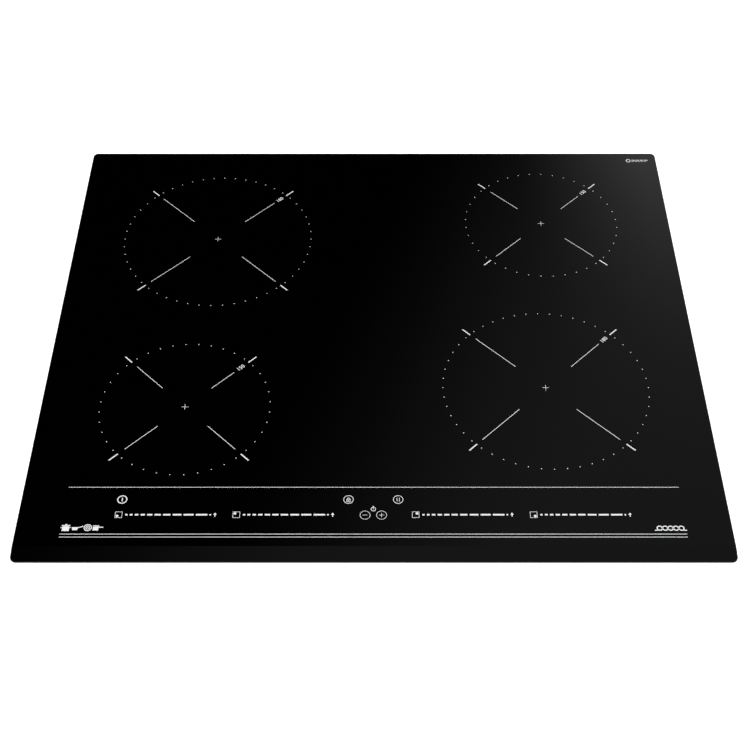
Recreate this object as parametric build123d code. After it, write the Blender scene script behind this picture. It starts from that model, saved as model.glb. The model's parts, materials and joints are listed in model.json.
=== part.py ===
from build123d import *
import os
from math import atan2, cos, degrees, radians, sin

# Built-in induction hob for a 560 x 490 mm worktop cut-out. Lengths are in millimetres.
# Origin: centre of the plan, at the underside of the base tray.
# +X is the user's right, +Y points to the wall behind the hob, +Z is up.

# ---------------------------------------------------------------- driving dimensions

# Whole hob and glass
GLASS_W = 600.0
GLASS_D = 520.0
GLASS_T = 4.0
HOB_H = 56.0
GLASS_CORNER_R = 5.0
GLASS_ARRIS = 0.4
FACET_D = 14.3              # ground facet along the front edge
FACET_DROP = 2.2

# Worktop cut-out that the hob drops into
CUTOUT_W = 560.0

# Sealing tape under the rim of the glass
TAPE_T = 2.0
TAPE_W = 11.0
TAPE_INSET = 2.5

# Silicone bead that holds the support rails to the glass
BEAD_T = 1.0
BEAD_W = 8.0
BEAD_INSET = 3.0

# Folded steel rails under the glass
RAIL_T = 1.2
RAIL_FLANGE = 14.0
FRONT_RAIL_FLANGE = 10.0
RAIL_LOW = 36.0

# Folded base tray
TRAY_W = 530.0
TRAY_D = 486.0
TRAY_TOP = 49.0
SHEET = 1.0
FOLD_R = 2.0
KNEE_Z = 30.0               # where the front wall starts to slope back
TOE_SETBACK = 21.0          # how far the slope runs back by the tray's floor

# Air slots in the tray: first slot, number of slots and height of each row
SLOT_W = 3.2
SLOT_PITCH = 8.0
OUTLET_START = 84.0
OUTLET_COUNT = 17
OUTLET_LOW = 7.0
OUTLET_OVER_KNEE = 4.0
SIDE_VENT_START = -52.0
SIDE_VENT_COUNT = 14
REAR_VENT_START = 110.0
REAR_VENT_COUNT = 12
VENT_LOW = 10.0
VENT_HIGH = 28.0
GRILLE_COUNT = 18           # radial slots under each fan
GRILLE_R = 20.5
GRILLE_L = 17.0
GRILLE_W = 2.6

# Tray screws
SCREW_Z = 43.0
SCREW_R = 1.9
SCREW_L = 6.0
SCREW_HOLE_R = 2.1
SCREW_HEAD_R = 3.6
SCREW_HEAD_H = 1.9
SIDE_SCREWS_Y = (-205.0, -75.0, 75.0, 205.0)
END_SCREWS_X = (-225.0, -110.0, 110.0, 225.0)

# Worktop clamps
CLAMP_X = 272.5
CLAMP_Y = 150.0
CLAMP_SCREW_R = 2.45
CLAMP_BORE_R = 2.5
CLAMP_HEAD_LOW = 1.5
CLAMP_HEAD_R = 4.6
CLAMP_HUB_R = 4.2
ARM_W = 11.0
ARM_L = 42.0
ARM_LOW = 5.0
ARM_T = 2.0
CLAW_H = 4.0
TOOTH_H = 1.6
TOOTH_PITCH = 3.4
BRACKET_T = 1.2
BRACKET_W = 18.0
BRACKET_TAB_LOW = 28.0
BRACKET_TAB_T = 2.0
BRACKET_TOP = 47.0
RIVET_R = 2.0
NUT_H = 3.5
NUT_R = 4.6

# Cooking zones: centre x, centre y, winding outer radius, ferrite bars, lead drop x, lead drop y
ZONES = {
    "rear_left": (-157.1, 125.8, 84.6, 8, -92.0, 60.0),
    "front_left": (-170.2, -95.2, 67.7, 6, -113.0, -39.0),
    "rear_right": (169.7, 149.0, 67.7, 6, 92.0, 71.0),
    "front_right": (156.4, -72.2, 84.6, 8, 90.0, -6.0),
}
WINDING_INNER_R = 21.0
WINDING_T = 3.2
MICA_T = 0.8
FORMER_T = 2.0
FERRITE_T = 4.0
FERRITE_W = 14.0
SENSOR_R = 5.5
FORMER_RIM = 3.0            # from the winding to the former's outer edge
WINDOW_W = 12.0             # windows between the former's spokes
LEAD_R = 1.4
LEAD_GAP = 2.2
LEAD_HOLE_R = 7.0
SENSOR_WIRE_R = 0.8

# Aluminium plates that carry the coils
CARRIER_T = 1.2
CARRIER_TOP = 39.6
CARRIER_IN = 60.0
CARRIER_OUT = 261.5
CARRIER_FRONT = -172.0
CARRIER_REAR = 227.0
CARRIER_LIP = 8.0
CARRIER_POSTS = [(x, y) for x in (66.0, 254.0) for y in (-162.0, 50.0, 219.0)]
POST_SHOULDER = 18.0
POST_TOP = 26.0
SPRING_R = 3.4
SPRING_WIRE_R = 0.5
SPRING_TURNS = 6

# Circuit boards
BOARD_LOW = 8.0
BOARD_T = 1.6
POWER_BOARD = (72.0, 246.0, -150.0, 100.0)     # x from, x to, y from, y to, on the right
POWER_POST_INSET = 6.0
FILTER_BOARD = (-50.0, 50.0, 40.0, 176.0)
FILTER_POST_INSET = 5.0
STANDOFF_R = 3.5
PIN_R = 1.6
PIN_HOLE_R = 1.7
PIN_CAP_R = 2.6
PIN_CAP_TOP = 1.4

# Parts on the boards
SWITCH_X = 150.0            # power transistors, under the heatsink's middle
SWITCH_W = 16.0
SWITCH_D = 18.0
SWITCH_LEAD_W = 1.2
SWITCH_LEAD_PITCH = 5.0
SWITCH_LEAD_L = 4.0
FILM_CAP_W = 26.0
FILM_CAP_D = 30.0
FILM_CAP_H = 21.0
CAN_R = 8.0
CAN_H = 22.0
TALL_PARTS_X = 222.0        # row of electrolytic capacitors and relays
RELAY_W = 16.0
RELAY_D = 20.0
RELAY_H = 16.0

# Heatsinks
SINK = (112.0, 188.0, -20.0, 100.0)
SINK_BASE_LOW = 14.6
SINK_BASE_T = 4.0
SINK_TOP = 34.0
FIN_T = 1.6
FIN_COUNT = 11
SINK_FOOT_W = 3.0

# Fans
FAN_X = 150.0
FAN_Y = 166.0
FAN_LOW = 2.0
FAN_TOP = 32.0
FAN_WALL = 1.6
FAN_HALF = 55.0
FAN_SCROLL_R = 51.0
FAN_OUTLET_HALF = 38.0
FAN_INLET_R = 32.0
SHAFT_R = 1.5
SHAFT_CLEARANCE = 0.05
WHEEL_R = 43.0
WHEEL_LOW = 6.5
WHEEL_BACK_LOW = 24.0
WHEEL_BACK_T = 1.5
WHEEL_RING_W = 5.0
CUP_LOW = 7.5
CUP_R = 17.5
CUP_T = 1.4
BLADE_COUNT = 26
BLADE_L = 7.6
BLADE_T = 1.1
BLADE_ANGLE = 32.0
MOTOR_R = 14.0
MOTOR_LOW = 12.0

# Terminal box at the rear, its flap and the mains inlet
BOX_HALF_W = 56.0
BOX_FRONT = 186.0
BOX_TOP = 35.0
BOX_WALL = 1.6
FLAP_LEFT = -54.0
FLAP_RIGHT = 12.0
FLAP_AXIS_Z = 6.0
FLAP_T = 2.0
FLAP_TOP = 33.0
FLAP_AXIS_INSET = 2.4       # from the tray's rear face to the flap's pins
FLAP_PIN_R = 1.0
INLET_X = 34.0
INLET_Z = 18.0
INLET_BORE_R = 6.0
INLET_BODY_R = 9.5
INLET_INNER_Y = 227.0
INLET_LIP_R = 1.0
INLET_FLANGE_R = 12.5
INLET_FLANGE_T = 1.8

# Terminal block: x from and to, y from and to
BLOCK_X = (-50.0, 10.0)
BLOCK_Y = (203.0, 226.0)
BLOCK_TOP = 25.0
BLOCK_STEP_Z = 19.0
BLOCK_STEP_D = 6.0
POLES = 6
CONDUCTOR_Z = 12.0
CONDUCTOR_HOLE_R = 2.6
WELL_R = 3.2
WELL_INSET = 8.0
MAINS_WIRE_R = 1.5
MAINS_WIRE_Z = 16.0

# Choke on the filter board
CHOKE_X = -16.0
CHOKE_Y = 136.0
CHOKE_R = 19.0
CHOKE_BORE = 9.5
CHOKE_H = 12.0
CHOKE_TURNS = 7             # in each half

# Touch control
CONTROL_HALF_W = 232.0
CONTROL_FRONT = -231.0
CONTROL_REAR = -184.0
CONTROL_LOW = 40.5
CONTROL_TOP = 51.2
CONTROL_BOARD_LOW = 44.0
CONTROL_WALL = 1.5
CONTROL_BOARD_GAP = 2.5
RIBBON_W = 20.0
RIBBON_T = 0.9
RIBBON_INSET = 12.0
SLIDER_STARTS = [-215.2, -116.0, 35.2, 134.6]
SLIDER_L = 80.0
SLIDER_Y = -214.0
DISPLAY_Y = -200.0
PAD_R = 3.2
PADS_PER_SLIDER = 6
KEY_PADS = [(-214.0, -198.3), (-21.6, -198.3), (20.6, -198.3), (-7.4, -214.4), (6.5, -214.4)]

# ---------------------------------------------------------------- values worked out from them

GLASS_LOW = HOB_H - GLASS_T
SEAT_Z = GLASS_LOW - TAPE_T
BEAD_LOW = GLASS_LOW - BEAD_T
RAIL_TOP = BEAD_LOW
TRAY_IN_X = TRAY_W / 2 - SHEET
TRAY_IN_Y = TRAY_D / 2 - SHEET
BOARD_TOP = BOARD_LOW + BOARD_T
CARRIER_LOW = CARRIER_TOP - CARRIER_T
MICA_LOW = GLASS_LOW - MICA_T
WINDING_LOW = MICA_LOW - WINDING_T
FORMER_LOW = WINDING_LOW - FORMER_T
FERRITE_LOW = FORMER_LOW - FERRITE_T
FLAP_AXIS_Y = TRAY_D / 2 - FLAP_AXIS_INSET
ARM_TOP = ARM_LOW + ARM_T
BRACKET_TAB_TOP = BRACKET_TAB_LOW + BRACKET_TAB_T
FAN_ROOF = FAN_TOP - FAN_WALL
SINK_BASE_TOP = SINK_BASE_LOW + SINK_BASE_T
BLOCK_LOW = SHEET + BOX_WALL
POLE_PITCH = (BLOCK_X[1] - BLOCK_X[0]) / POLES
PAD_LOW = CONTROL_BOARD_LOW + BOARD_T
SIDES = (-1, 1)


# ---------------------------------------------------------------- small helpers

def block(x0, x1, y0, y1, z0, z1):
    """A box between two corners."""
    centre = Pos((x0 + x1) / 2, (y0 + y1) / 2, (z0 + z1) / 2)
    return centre * Box(abs(x1 - x0), abs(y1 - y0), abs(z1 - z0))


def post(x, y, z0, z1, radius):
    """An upright cylinder."""
    return Pos(x, y, (z0 + z1) / 2) * Cylinder(radius, z1 - z0)


def tube(x, y, z0, z1, outer, inner):
    """An upright tube."""
    return post(x, y, z0, z1, outer) - post(x, y, z0 - 1, z1 + 1, inner)


def rod_x(x0, x1, y, z, radius):
    """A cylinder along X."""
    return Pos((x0 + x1) / 2, y, z) * Rot(0, 90, 0) * Cylinder(radius, abs(x1 - x0))


def rod_y(x, y0, y1, z, radius):
    """A cylinder along Y."""
    return Pos(x, (y0 + y1) / 2, z) * Rot(90, 0, 0) * Cylinder(radius, abs(y1 - y0))


def around(count, offset=0.0):
    """Angles in degrees, evenly spaced round a circle."""
    return [offset + 360.0 * i / count for i in range(count)]


def spread(start, stop, count):
    """Evenly spaced values from start to stop."""
    return [start + (stop - start) * i / (count - 1) for i in range(count)]


def polar(x, y, radius, angle):
    """The point at a distance and an angle from a centre."""
    return x + radius * cos(radians(angle)), y + radius * sin(radians(angle))


def wire(points, radius, bend):
    """An insulated wire along straight runs joined by arcs."""
    path = FilletPolyline(*points, radius=bend)
    start = Plane(origin=path @ 0, z_dir=path % 0)
    return sweep(start * Circle(radius), path=path)


def save(name, *shapes):
    """Write one named piece, or a group of separate solids, as a STEP file."""
    solids = [solid for shape in shapes for solid in shape.solids()]
    export_step(Compound(children=solids), f"parts/{name}.step")


# ---------------------------------------------------------------- glass, tape, rails

def glass_plate():
    """Black glass-ceramic plate with a ground facet along its front edge."""
    front = -GLASS_D / 2
    plate = Pos(0, 0, GLASS_LOW) * extrude(RectangleRounded(GLASS_W, GLASS_D, GLASS_CORNER_R), GLASS_T)
    slope = FACET_DROP / FACET_D
    wedge = Polygon(
        (front + FACET_D, HOB_H),
        (front - 1, HOB_H - FACET_DROP - slope),
        (front - 1, HOB_H + 1),
        (front + FACET_D, HOB_H + 1),
        align=None,
    )
    plate -= extrude(Plane.YZ * wedge, GLASS_W, both=True)
    facet_start = front + FACET_D
    upper = [
        edge
        for face in plate.faces().filter_by(lambda f: f.normal_at().Z > 0.9)
        for edge in face.edges()
        if abs(edge.center().Y - facet_start) > 0.01 or edge.length < GLASS_W / 2
    ]
    lower = plate.faces().sort_by(Axis.Z)[0].edges()
    return chamfer(ShapeList(upper + list(lower)), GLASS_ARRIS)


def rim_strips(half_x, half_y, width, z0, z1):
    """Four butted strips that run round a rectangle; the two long ones take the corners."""
    inner_y = half_y - width
    strips = [block(-half_x, half_x, side * inner_y, side * half_y, z0, z1) for side in SIDES]
    strips += [block(side * (half_x - width), side * half_x, -inner_y, inner_y, z0, z1) for side in SIDES]
    return strips


def sealing_tape():
    """Foam tape stuck under the rim, which rests on the worktop."""
    return rim_strips(GLASS_W / 2 - TAPE_INSET, GLASS_D / 2 - TAPE_INSET, TAPE_W, SEAT_Z, GLASS_LOW)


def side_rail(side):
    """Folded rail under the left or right of the glass, with holes for the tray screws."""
    y0 = -TRAY_IN_Y + FRONT_RAIL_FLANGE
    y1 = TRAY_IN_Y - RAIL_FLANGE
    outer = side * TRAY_IN_X
    flange = block(outer - side * RAIL_FLANGE, outer, y0, y1, RAIL_TOP - RAIL_T, RAIL_TOP)
    web = block(outer - side * RAIL_T, outer, y0, y1, RAIL_LOW, RAIL_TOP)
    rail = flange + web
    for y in SIDE_SCREWS_Y:
        rail -= rod_x(outer - 3, outer + 3, y, SCREW_Z, SCREW_HOLE_R)
    return rail


def cross_rail(side):
    """Folded rail under the front or rear of the glass."""
    flange_w = FRONT_RAIL_FLANGE if side < 0 else RAIL_FLANGE
    outer = side * TRAY_IN_Y
    end = TRAY_IN_X - FOLD_R
    flange = block(-end, end, outer - side * flange_w, outer, RAIL_TOP - RAIL_T, RAIL_TOP)
    web = block(-end, end, outer - side * RAIL_T, outer, RAIL_LOW, RAIL_TOP)
    rail = flange + web
    for x in END_SCREWS_X:
        rail -= rod_y(x, outer - 3, outer + 3, SCREW_Z, SCREW_HOLE_R)
    return rail


def glass_adhesive():
    """Silicone beads between the rails and the glass."""
    side_y = TRAY_IN_Y - RAIL_FLANGE - 2
    end_x = TRAY_IN_X - BEAD_INSET
    beads = []
    for side in SIDES:
        beads.append(block(side * (end_x - BEAD_W), side * end_x, -side_y, side_y, BEAD_LOW, GLASS_LOW))
    for side, width in ((-1, BEAD_W - 2), (1, BEAD_W)):
        y = side * (TRAY_IN_Y - 2)
        beads.append(block(-end_x, end_x, y - side * width, y, BEAD_LOW, GLASS_LOW))
    return beads


# ---------------------------------------------------------------- base tray and its screws

def tray_body(inset, fold_r):
    """The closed shape of the tray, moved in all round by the inset."""
    tall = TRAY_TOP + 10
    half = TRAY_D / 2
    profile = Polygon(
        (half, 0), (half, tall), (-half, tall), (-half, KNEE_Z), (-half + TOE_SETBACK, 0), align=None
    )
    if inset:
        profile = offset(profile, -inset, kind=Kind.INTERSECTION)
    body = extrude(Plane.YZ * profile, TRAY_W / 2 - inset, both=True)
    folds = body.edges().filter_by(lambda e: e.center().Z < tall - inset - 1)
    return fillet(folds, fold_r)


def base_tray():
    """Folded steel tray with air slots, fan grilles, the flap's window and the inlet's hole."""
    tray = tray_body(0, FOLD_R) - tray_body(SHEET, FOLD_R - SHEET)
    tray -= block(-TRAY_W, TRAY_W, -TRAY_D, TRAY_D, TRAY_TOP, HOB_H + 20)
    cuts = []
    # air outlets in the front wall, over its knee
    for side in SIDES:
        for k in range(OUTLET_COUNT):
            x = side * (OUTLET_START + SLOT_PITCH * k)
            slot_x = (x - SLOT_W / 2, x + SLOT_W / 2)
            top = KNEE_Z + OUTLET_OVER_KNEE
            cuts.append(block(*slot_x, -TRAY_D, -TRAY_D / 2 + TOE_SETBACK, OUTLET_LOW, top))
    # air slots in the side walls
    for side in SIDES:
        x = side * TRAY_W / 2
        for k in range(SIDE_VENT_COUNT):
            y = SIDE_VENT_START + SLOT_PITCH * k
            cuts.append(block(x - 3, x + 3, y - SLOT_W / 2, y + SLOT_W / 2, VENT_LOW, VENT_HIGH))
    # air slots in the rear wall
    for side in SIDES:
        for k in range(REAR_VENT_COUNT):
            x = side * (REAR_VENT_START + SLOT_PITCH * k)
            cuts.append(block(x - SLOT_W / 2, x + SLOT_W / 2, TRAY_IN_Y - 3, TRAY_D, VENT_LOW, VENT_HIGH))
    # intake grilles under the fans
    for side in SIDES:
        for angle in around(GRILLE_COUNT):
            slot = Pos(GRILLE_R, 0, 0) * Box(GRILLE_L, GRILLE_W, 4 * SHEET)
            cuts.append(Pos(side * FAN_X, FAN_Y, 0) * Rot(0, 0, angle) * slot)
    # window for the terminal flap and hole for the mains inlet
    gap = 0.5
    cuts.append(block(FLAP_LEFT - gap, FLAP_RIGHT + gap, TRAY_IN_Y - 3, TRAY_D, 3.2, FLAP_TOP + gap))
    cuts.append(rod_y(INLET_X, TRAY_IN_Y - 3, TRAY_D, INLET_Z, INLET_BODY_R + 0.1))
    # holes for the tray screws
    for x, y in [(side * TRAY_W / 2, y) for side in SIDES for y in SIDE_SCREWS_Y]:
        cuts.append(rod_x(x - 3, x + 3, y, SCREW_Z, SCREW_HOLE_R))
    for x, y in [(x, side * TRAY_D / 2) for side in SIDES for x in END_SCREWS_X]:
        cuts.append(rod_y(x, y - 3, y + 3, SCREW_Z, SCREW_HOLE_R))
    return tray.cut(*cuts)


def pan_screw(length):
    """A pan-head screw with a cross recess; its head's seat is at z = 0 and its shank points down."""
    head = Pos(0, 0, SCREW_HEAD_H / 2) * Cylinder(SCREW_HEAD_R, SCREW_HEAD_H)
    head = fillet(head.edges().sort_by(Axis.Z)[-1], 1.2)
    shank = Pos(0, 0, -length / 2) * Cylinder(SCREW_R, length)
    recess = Box(0.9, 3.8, 2.4) + Box(3.8, 0.9, 2.4)
    return head + shank - Pos(0, 0, SCREW_HEAD_H) * recess


def tray_screws():
    """Screws through the tray walls into the rails."""
    screw = pan_screw(SCREW_L)
    screws = []
    for side in SIDES:
        screws += [Pos(side * TRAY_W / 2, y, SCREW_Z) * Rot(0, side * 90, 0) * screw for y in SIDE_SCREWS_Y]
        screws += [Pos(x, side * TRAY_D / 2, SCREW_Z) * Rot(-side * 90, 0, 0) * screw for x in END_SCREWS_X]
    return screws


# ---------------------------------------------------------------- worktop clamps

def clamp_bracket(x_side, y_side):
    """Bracket on the tray's side wall, with the welded nut that the clamp screw turns in."""
    wall = TRAY_W / 2
    y = y_side * CLAMP_Y
    half = BRACKET_W / 2
    x0 = x_side * wall
    plate = block(x0, x0 + x_side * BRACKET_T, y - half, y + half, BRACKET_TAB_LOW, BRACKET_TOP)
    tab = block(x0, x_side * (CUTOUT_W / 2 - 1.5), y - half, y + half, BRACKET_TAB_LOW, BRACKET_TAB_TOP)
    tab = fillet(tab.edges().filter_by(Axis.Z).sort_by(lambda e: abs(e.center().X))[-2:], 4)
    hexagon = RegularPolygon(NUT_R, 6)
    nut = Pos(x_side * CLAMP_X, y, BRACKET_TAB_TOP) * extrude(hexagon, NUT_H)
    bracket = plate + tab + nut
    bracket -= post(x_side * CLAMP_X, y, BRACKET_TAB_LOW - 1, BRACKET_TAB_TOP + NUT_H + 1, CLAMP_BORE_R)
    for offset_y in (-5.5, 5.5):
        rivet = Pos(x0 + x_side * BRACKET_T, y + offset_y, BRACKET_TOP - 5) * Sphere(RIVET_R)
        bracket += rivet & block(x0, x0 + x_side * 6, y - half, y + half, BRACKET_TAB_LOW, BRACKET_TOP)
    return bracket


def clamp_screw(x_side, y_side):
    """Clamp screw with its head below the arm and a retaining collar above it."""
    gap = 0.1
    head_top = ARM_LOW - gap
    collar_low = ARM_TOP + 1 + gap
    screw = post(0, 0, head_top, BRACKET_TAB_TOP + NUT_H + 1.5, CLAMP_SCREW_R)
    head = post(0, 0, CLAMP_HEAD_LOW, head_top, CLAMP_HEAD_R)
    head = fillet(head.edges().sort_by(Axis.Z)[0], 1.0)
    screw += head + post(0, 0, collar_low, collar_low + 1, CLAMP_HUB_R)
    recess = Box(1.1, 5.0, 3.0) + Box(5.0, 1.1, 3.0)
    screw -= Pos(0, 0, CLAMP_HEAD_LOW) * recess
    return Pos(x_side * CLAMP_X, y_side * CLAMP_Y, 0) * screw


def clamp_arm(x_side, y_side):
    """Pressed-steel arm that turns out under the worktop; its tip is folded up into a toothed claw."""
    half = ARM_W / 2
    claw_top = ARM_TOP + CLAW_H
    strip = extrude(Circle(half) + Pos(ARM_L / 2, 0) * Rectangle(ARM_L, ARM_W), ARM_T)
    arm = Pos(0, 0, ARM_LOW) * strip
    arm += block(ARM_L - ARM_T, ARM_L, -half, half, ARM_LOW, claw_top)
    gaps = []
    for y in (-TOOTH_PITCH, 0, TOOTH_PITCH):
        gaps.append(block(ARM_L - 5, ARM_L + 1, y - 1.1, y + 1.1, claw_top - TOOTH_H, claw_top + 1))
    arm = arm.cut(*gaps)
    # two folded edges stiffen the arm between the hub and the claw
    for side in SIDES:
        arm += block(9, ARM_L - 6, side * (half - 1.2), side * half, ARM_LOW, ARM_TOP + 2)
    arm += post(0, 0, ARM_TOP, ARM_TOP + 1, CLAMP_HUB_R)
    arm -= post(0, 0, 0, HOB_H, CLAMP_BORE_R)
    # stowed along the tray's wall, pointing to the middle of the side
    return Pos(x_side * CLAMP_X, y_side * CLAMP_Y, 0) * Rot(0, 0, -y_side * 90) * arm


# ---------------------------------------------------------------- coils and their carriers

def coil_winding(zone):
    """The flat litz winding, as the ring that its turns fill."""
    x, y, outer = ZONES[zone][:3]
    return tube(x, y, WINDING_LOW, MICA_LOW, outer, WINDING_INNER_R)


def coil_former(zone):
    """Plastic former: a spoked disc under the winding, with a hub for the sensor and feet on the plate."""
    x, y, outer, bars = ZONES[zone][:4]
    rim = outer + FORMER_RIM
    hub = WINDING_INNER_R - 6
    former = tube(0, 0, FORMER_LOW, WINDING_LOW, rim, hub - 1)
    former += tube(0, 0, WINDING_LOW, MICA_LOW, rim, outer + 1)
    former += tube(0, 0, CARRIER_TOP, MICA_LOW, hub, hub - 2)
    window = Box(outer - WINDING_INNER_R - 2 * WINDOW_W, WINDOW_W, 3 * FORMER_T)
    window = Pos((outer + WINDING_INNER_R) / 2, 0, FORMER_LOW) * window
    windows = []
    for angle in around(bars, 180 / bars):
        windows.append(Rot(0, 0, angle) * window)
        foot_x, foot_y = polar(0, 0, rim - 5, angle)
        former += post(foot_x, foot_y, CARRIER_TOP, FORMER_LOW, 4)
    # gap in the rim where the two leads come out
    gap = block(outer - 2, rim + 2, -LEAD_HOLE_R, LEAD_HOLE_R, WINDING_LOW, MICA_LOW)
    former = former.cut(*windows, Rot(0, 0, lead_angle(zone)) * gap)
    return Pos(x, y, 0) * former


def ferrite_bars():
    """Flat ferrite bars in a star under each winding."""
    bars = []
    for x, y, outer, count, drop_x, drop_y in ZONES.values():
        half_w = FERRITE_W / 2
        bar = block(WINDING_INNER_R + 2, outer - 2, -half_w, half_w, FERRITE_LOW, FORMER_LOW)
        bars += [Pos(x, y, 0) * Rot(0, 0, angle) * bar for angle in around(count)]
    return bars


def mica_discs():
    """Insulating discs between the windings and the glass."""
    discs = []
    for x, y, outer, *rest in ZONES.values():
        discs.append(tube(x, y, MICA_LOW, GLASS_LOW, outer + FORMER_RIM, SENSOR_R + 1))
    return discs


def coil_sensors():
    """Spring-loaded temperature sensors that touch the glass at the middle of each coil."""
    sensors = []
    for x, y, *rest in ZONES.values():
        cup = post(x, y, WINDING_LOW, GLASS_LOW, SENSOR_R)
        sensors.append(cup + post(x, y, CARRIER_TOP + 1, WINDING_LOW, 3.0))
    return sensors


def coil_carrier(side):
    """Aluminium plate under the two coils of one side, with holes for leads and sensors."""
    x0 = side * CARRIER_IN
    x1 = side * CARRIER_OUT
    plate = block(x0, x1, CARRIER_FRONT, CARRIER_REAR, CARRIER_LOW, CARRIER_TOP)
    plate = fillet(plate.edges().filter_by(Axis.Z), 6)
    lip_x = (x0, x0 + side * CARRIER_T)
    plate += block(*lip_x, CARRIER_FRONT + 12, CARRIER_REAR - 12, CARRIER_LOW - CARRIER_LIP, CARRIER_LOW)
    holes = []
    for x, y, outer, bars, drop_x, drop_y in ZONES.values():
        if x * side > 0:
            holes.append(post(drop_x, drop_y, CARRIER_LOW - 1, CARRIER_TOP + 1, LEAD_HOLE_R))
            holes.append(post(x, y, CARRIER_LOW - 1, CARRIER_TOP + 1, SENSOR_R - 0.5))
    return plate.cut(*holes)


def carrier_posts():
    """Plastic posts on the tray's floor, which the carrier springs stand on."""
    posts = []
    for side in SIDES:
        for x, y in CARRIER_POSTS:
            stem = post(side * x, y, SHEET, POST_TOP, 2.4)
            stem += post(side * x, y, SHEET, POST_SHOULDER, 4.2)
            posts.append(stem + post(side * x, y, SHEET, SHEET + 2, 6))
    return posts


def carrier_springs():
    """Compression springs that press the coils up against the glass."""
    low = POST_SHOULDER + SPRING_WIRE_R
    height = CARRIER_LOW - SPRING_WIRE_R - low
    path = Helix(pitch=height / SPRING_TURNS, height=height, radius=SPRING_R)
    start = Plane(origin=path @ 0, z_dir=path % 0)
    spring = sweep(start * Circle(SPRING_WIRE_R), path=path, is_frenet=True)
    return [Pos(side * x, y, low) * spring for side in SIDES for x, y in CARRIER_POSTS]


def lead_angle(zone):
    """Direction from a coil's centre to the place where its leads go down to the board."""
    x, y, outer, bars, drop_x, drop_y = ZONES[zone]
    return degrees(atan2(drop_y - y, drop_x - x))


def coil_leads():
    """Two insulated leads from each winding down to its power board."""
    level = (WINDING_LOW + MICA_LOW) / 2
    leads = []
    for zone, (x, y, outer, bars, drop_x, drop_y) in ZONES.items():
        angle = lead_angle(zone)
        for gap in (-LEAD_GAP, LEAD_GAP):
            across_x, across_y = polar(0, 0, gap, angle + 90)
            start_x, start_y = polar(x + across_x, y + across_y, outer + 0.1, angle)
            end = (drop_x + across_x, drop_y + across_y)
            points = [(start_x, start_y, level), (*end, level), (*end, BOARD_TOP)]
            leads.append(wire(points, LEAD_R, 4.5))
    return leads


def sensor_wires():
    """Thin twin wires from each sensor, under the carrier plate, down to the board."""
    level = CARRIER_LOW - 2.2
    wires = []
    for zone, (x, y, outer, bars, drop_x, drop_y) in ZONES.items():
        end_x, end_y = polar(drop_x, drop_y, LEAD_HOLE_R + 2, lead_angle(zone) + 90)
        points = [(x, y, CARRIER_TOP + 1), (x, y, level), (end_x, end_y, level), (end_x, end_y, BOARD_TOP)]
        wires.append(wire(points, SENSOR_WIRE_R, 2.0))
    return wires


# ---------------------------------------------------------------- power electronics

def corners(outline, inset):
    """The four places at an inset from the corners of a board's outline."""
    x0, x1, y0, y1 = outline
    return [(x, y) for x in (x0 + inset, x1 - inset) for y in (y0 + inset, y1 - inset)]


def pin_holes(places):
    """Holes through a board for its standoffs' pins."""
    return [post(x, y, 0, 2 * BOARD_TOP, PIN_HOLE_R) for x, y in places]


def power_board(side):
    """Inverter board with a rounded outline and holes for its standoffs."""
    x0, x1, y0, y1 = POWER_BOARD
    board = block(side * x0, side * x1, y0, y1, BOARD_LOW, BOARD_TOP)
    board = fillet(board.edges().filter_by(Axis.Z), 3)
    places = [(side * x, y) for x, y in corners(POWER_BOARD, POWER_POST_INSET)]
    return board.cut(*pin_holes(places))


def board_standoffs():
    """Plastic posts that hold the three boards off the tray's floor, with a pin through each board."""
    places = [(side * x, y) for side in SIDES for x, y in corners(POWER_BOARD, POWER_POST_INSET)]
    places += corners(FILTER_BOARD, FILTER_POST_INSET)
    cap_top = BOARD_TOP + PIN_CAP_TOP
    posts = []
    for x, y in places:
        pin = post(x, y, BOARD_LOW, cap_top, PIN_R)
        cap = post(x, y, BOARD_TOP + 0.05, cap_top, PIN_CAP_R)
        posts.append(post(x, y, SHEET, BOARD_LOW, STANDOFF_R) + pin + cap)
    return posts


def heatsink(side):
    """Extruded finned heatsink on two feet, over the power transistors."""
    x0, x1, y0, y1 = SINK
    sink = block(side * x0, side * x1, y0, y1, SINK_BASE_LOW, SINK_BASE_TOP)
    for x in spread(x0, x1 - FIN_T, FIN_COUNT):
        sink += block(side * x, side * (x + FIN_T), y0, y1, SINK_BASE_TOP, SINK_TOP)
    for x in (x0, x1 - SINK_FOOT_W):
        sink += block(side * x, side * (x + SINK_FOOT_W), y0, y1, BOARD_TOP, SINK_BASE_LOW)
    return sink


def power_transistors():
    """Flat transistors and a rectifier on each board, pressed against the heatsink's base."""
    pieces = []
    for side in SIDES:
        for y in spread(0, 80, 5):
            x = side * SWITCH_X
            front = y - SWITCH_D / 2
            left = x - SWITCH_W / 2
            body = block(left, left + SWITCH_W, front, front + SWITCH_D, BOARD_TOP, SINK_BASE_LOW)
            for lead_x in (x - SWITCH_LEAD_PITCH, x, x + SWITCH_LEAD_PITCH):
                lead = Box(SWITCH_LEAD_W, SWITCH_LEAD_L, 0.8)
                body += Pos(lead_x, front - SWITCH_LEAD_L / 2, BOARD_TOP + 0.4) * lead
            pieces.append(body)
    return pieces


def film_capacitors():
    """Box-shaped resonance and mains capacitors."""
    boxes = []
    for side in SIDES:
        for x in spread(96, 222, 4):
            for y in (-128, -88):
                box = Pos(side * x, y, BOARD_TOP + FILM_CAP_H / 2) * Box(FILM_CAP_W, FILM_CAP_D, FILM_CAP_H)
                boxes.append(fillet(box.edges().filter_by(Axis.Z), 1.5))
    for y in (62, 88):
        box = block(-42, -18, y - 9, y + 9, BOARD_TOP, BOARD_TOP + 19)
        boxes.append(fillet(box.edges().filter_by(Axis.Z), 1.5))
    return boxes


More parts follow.
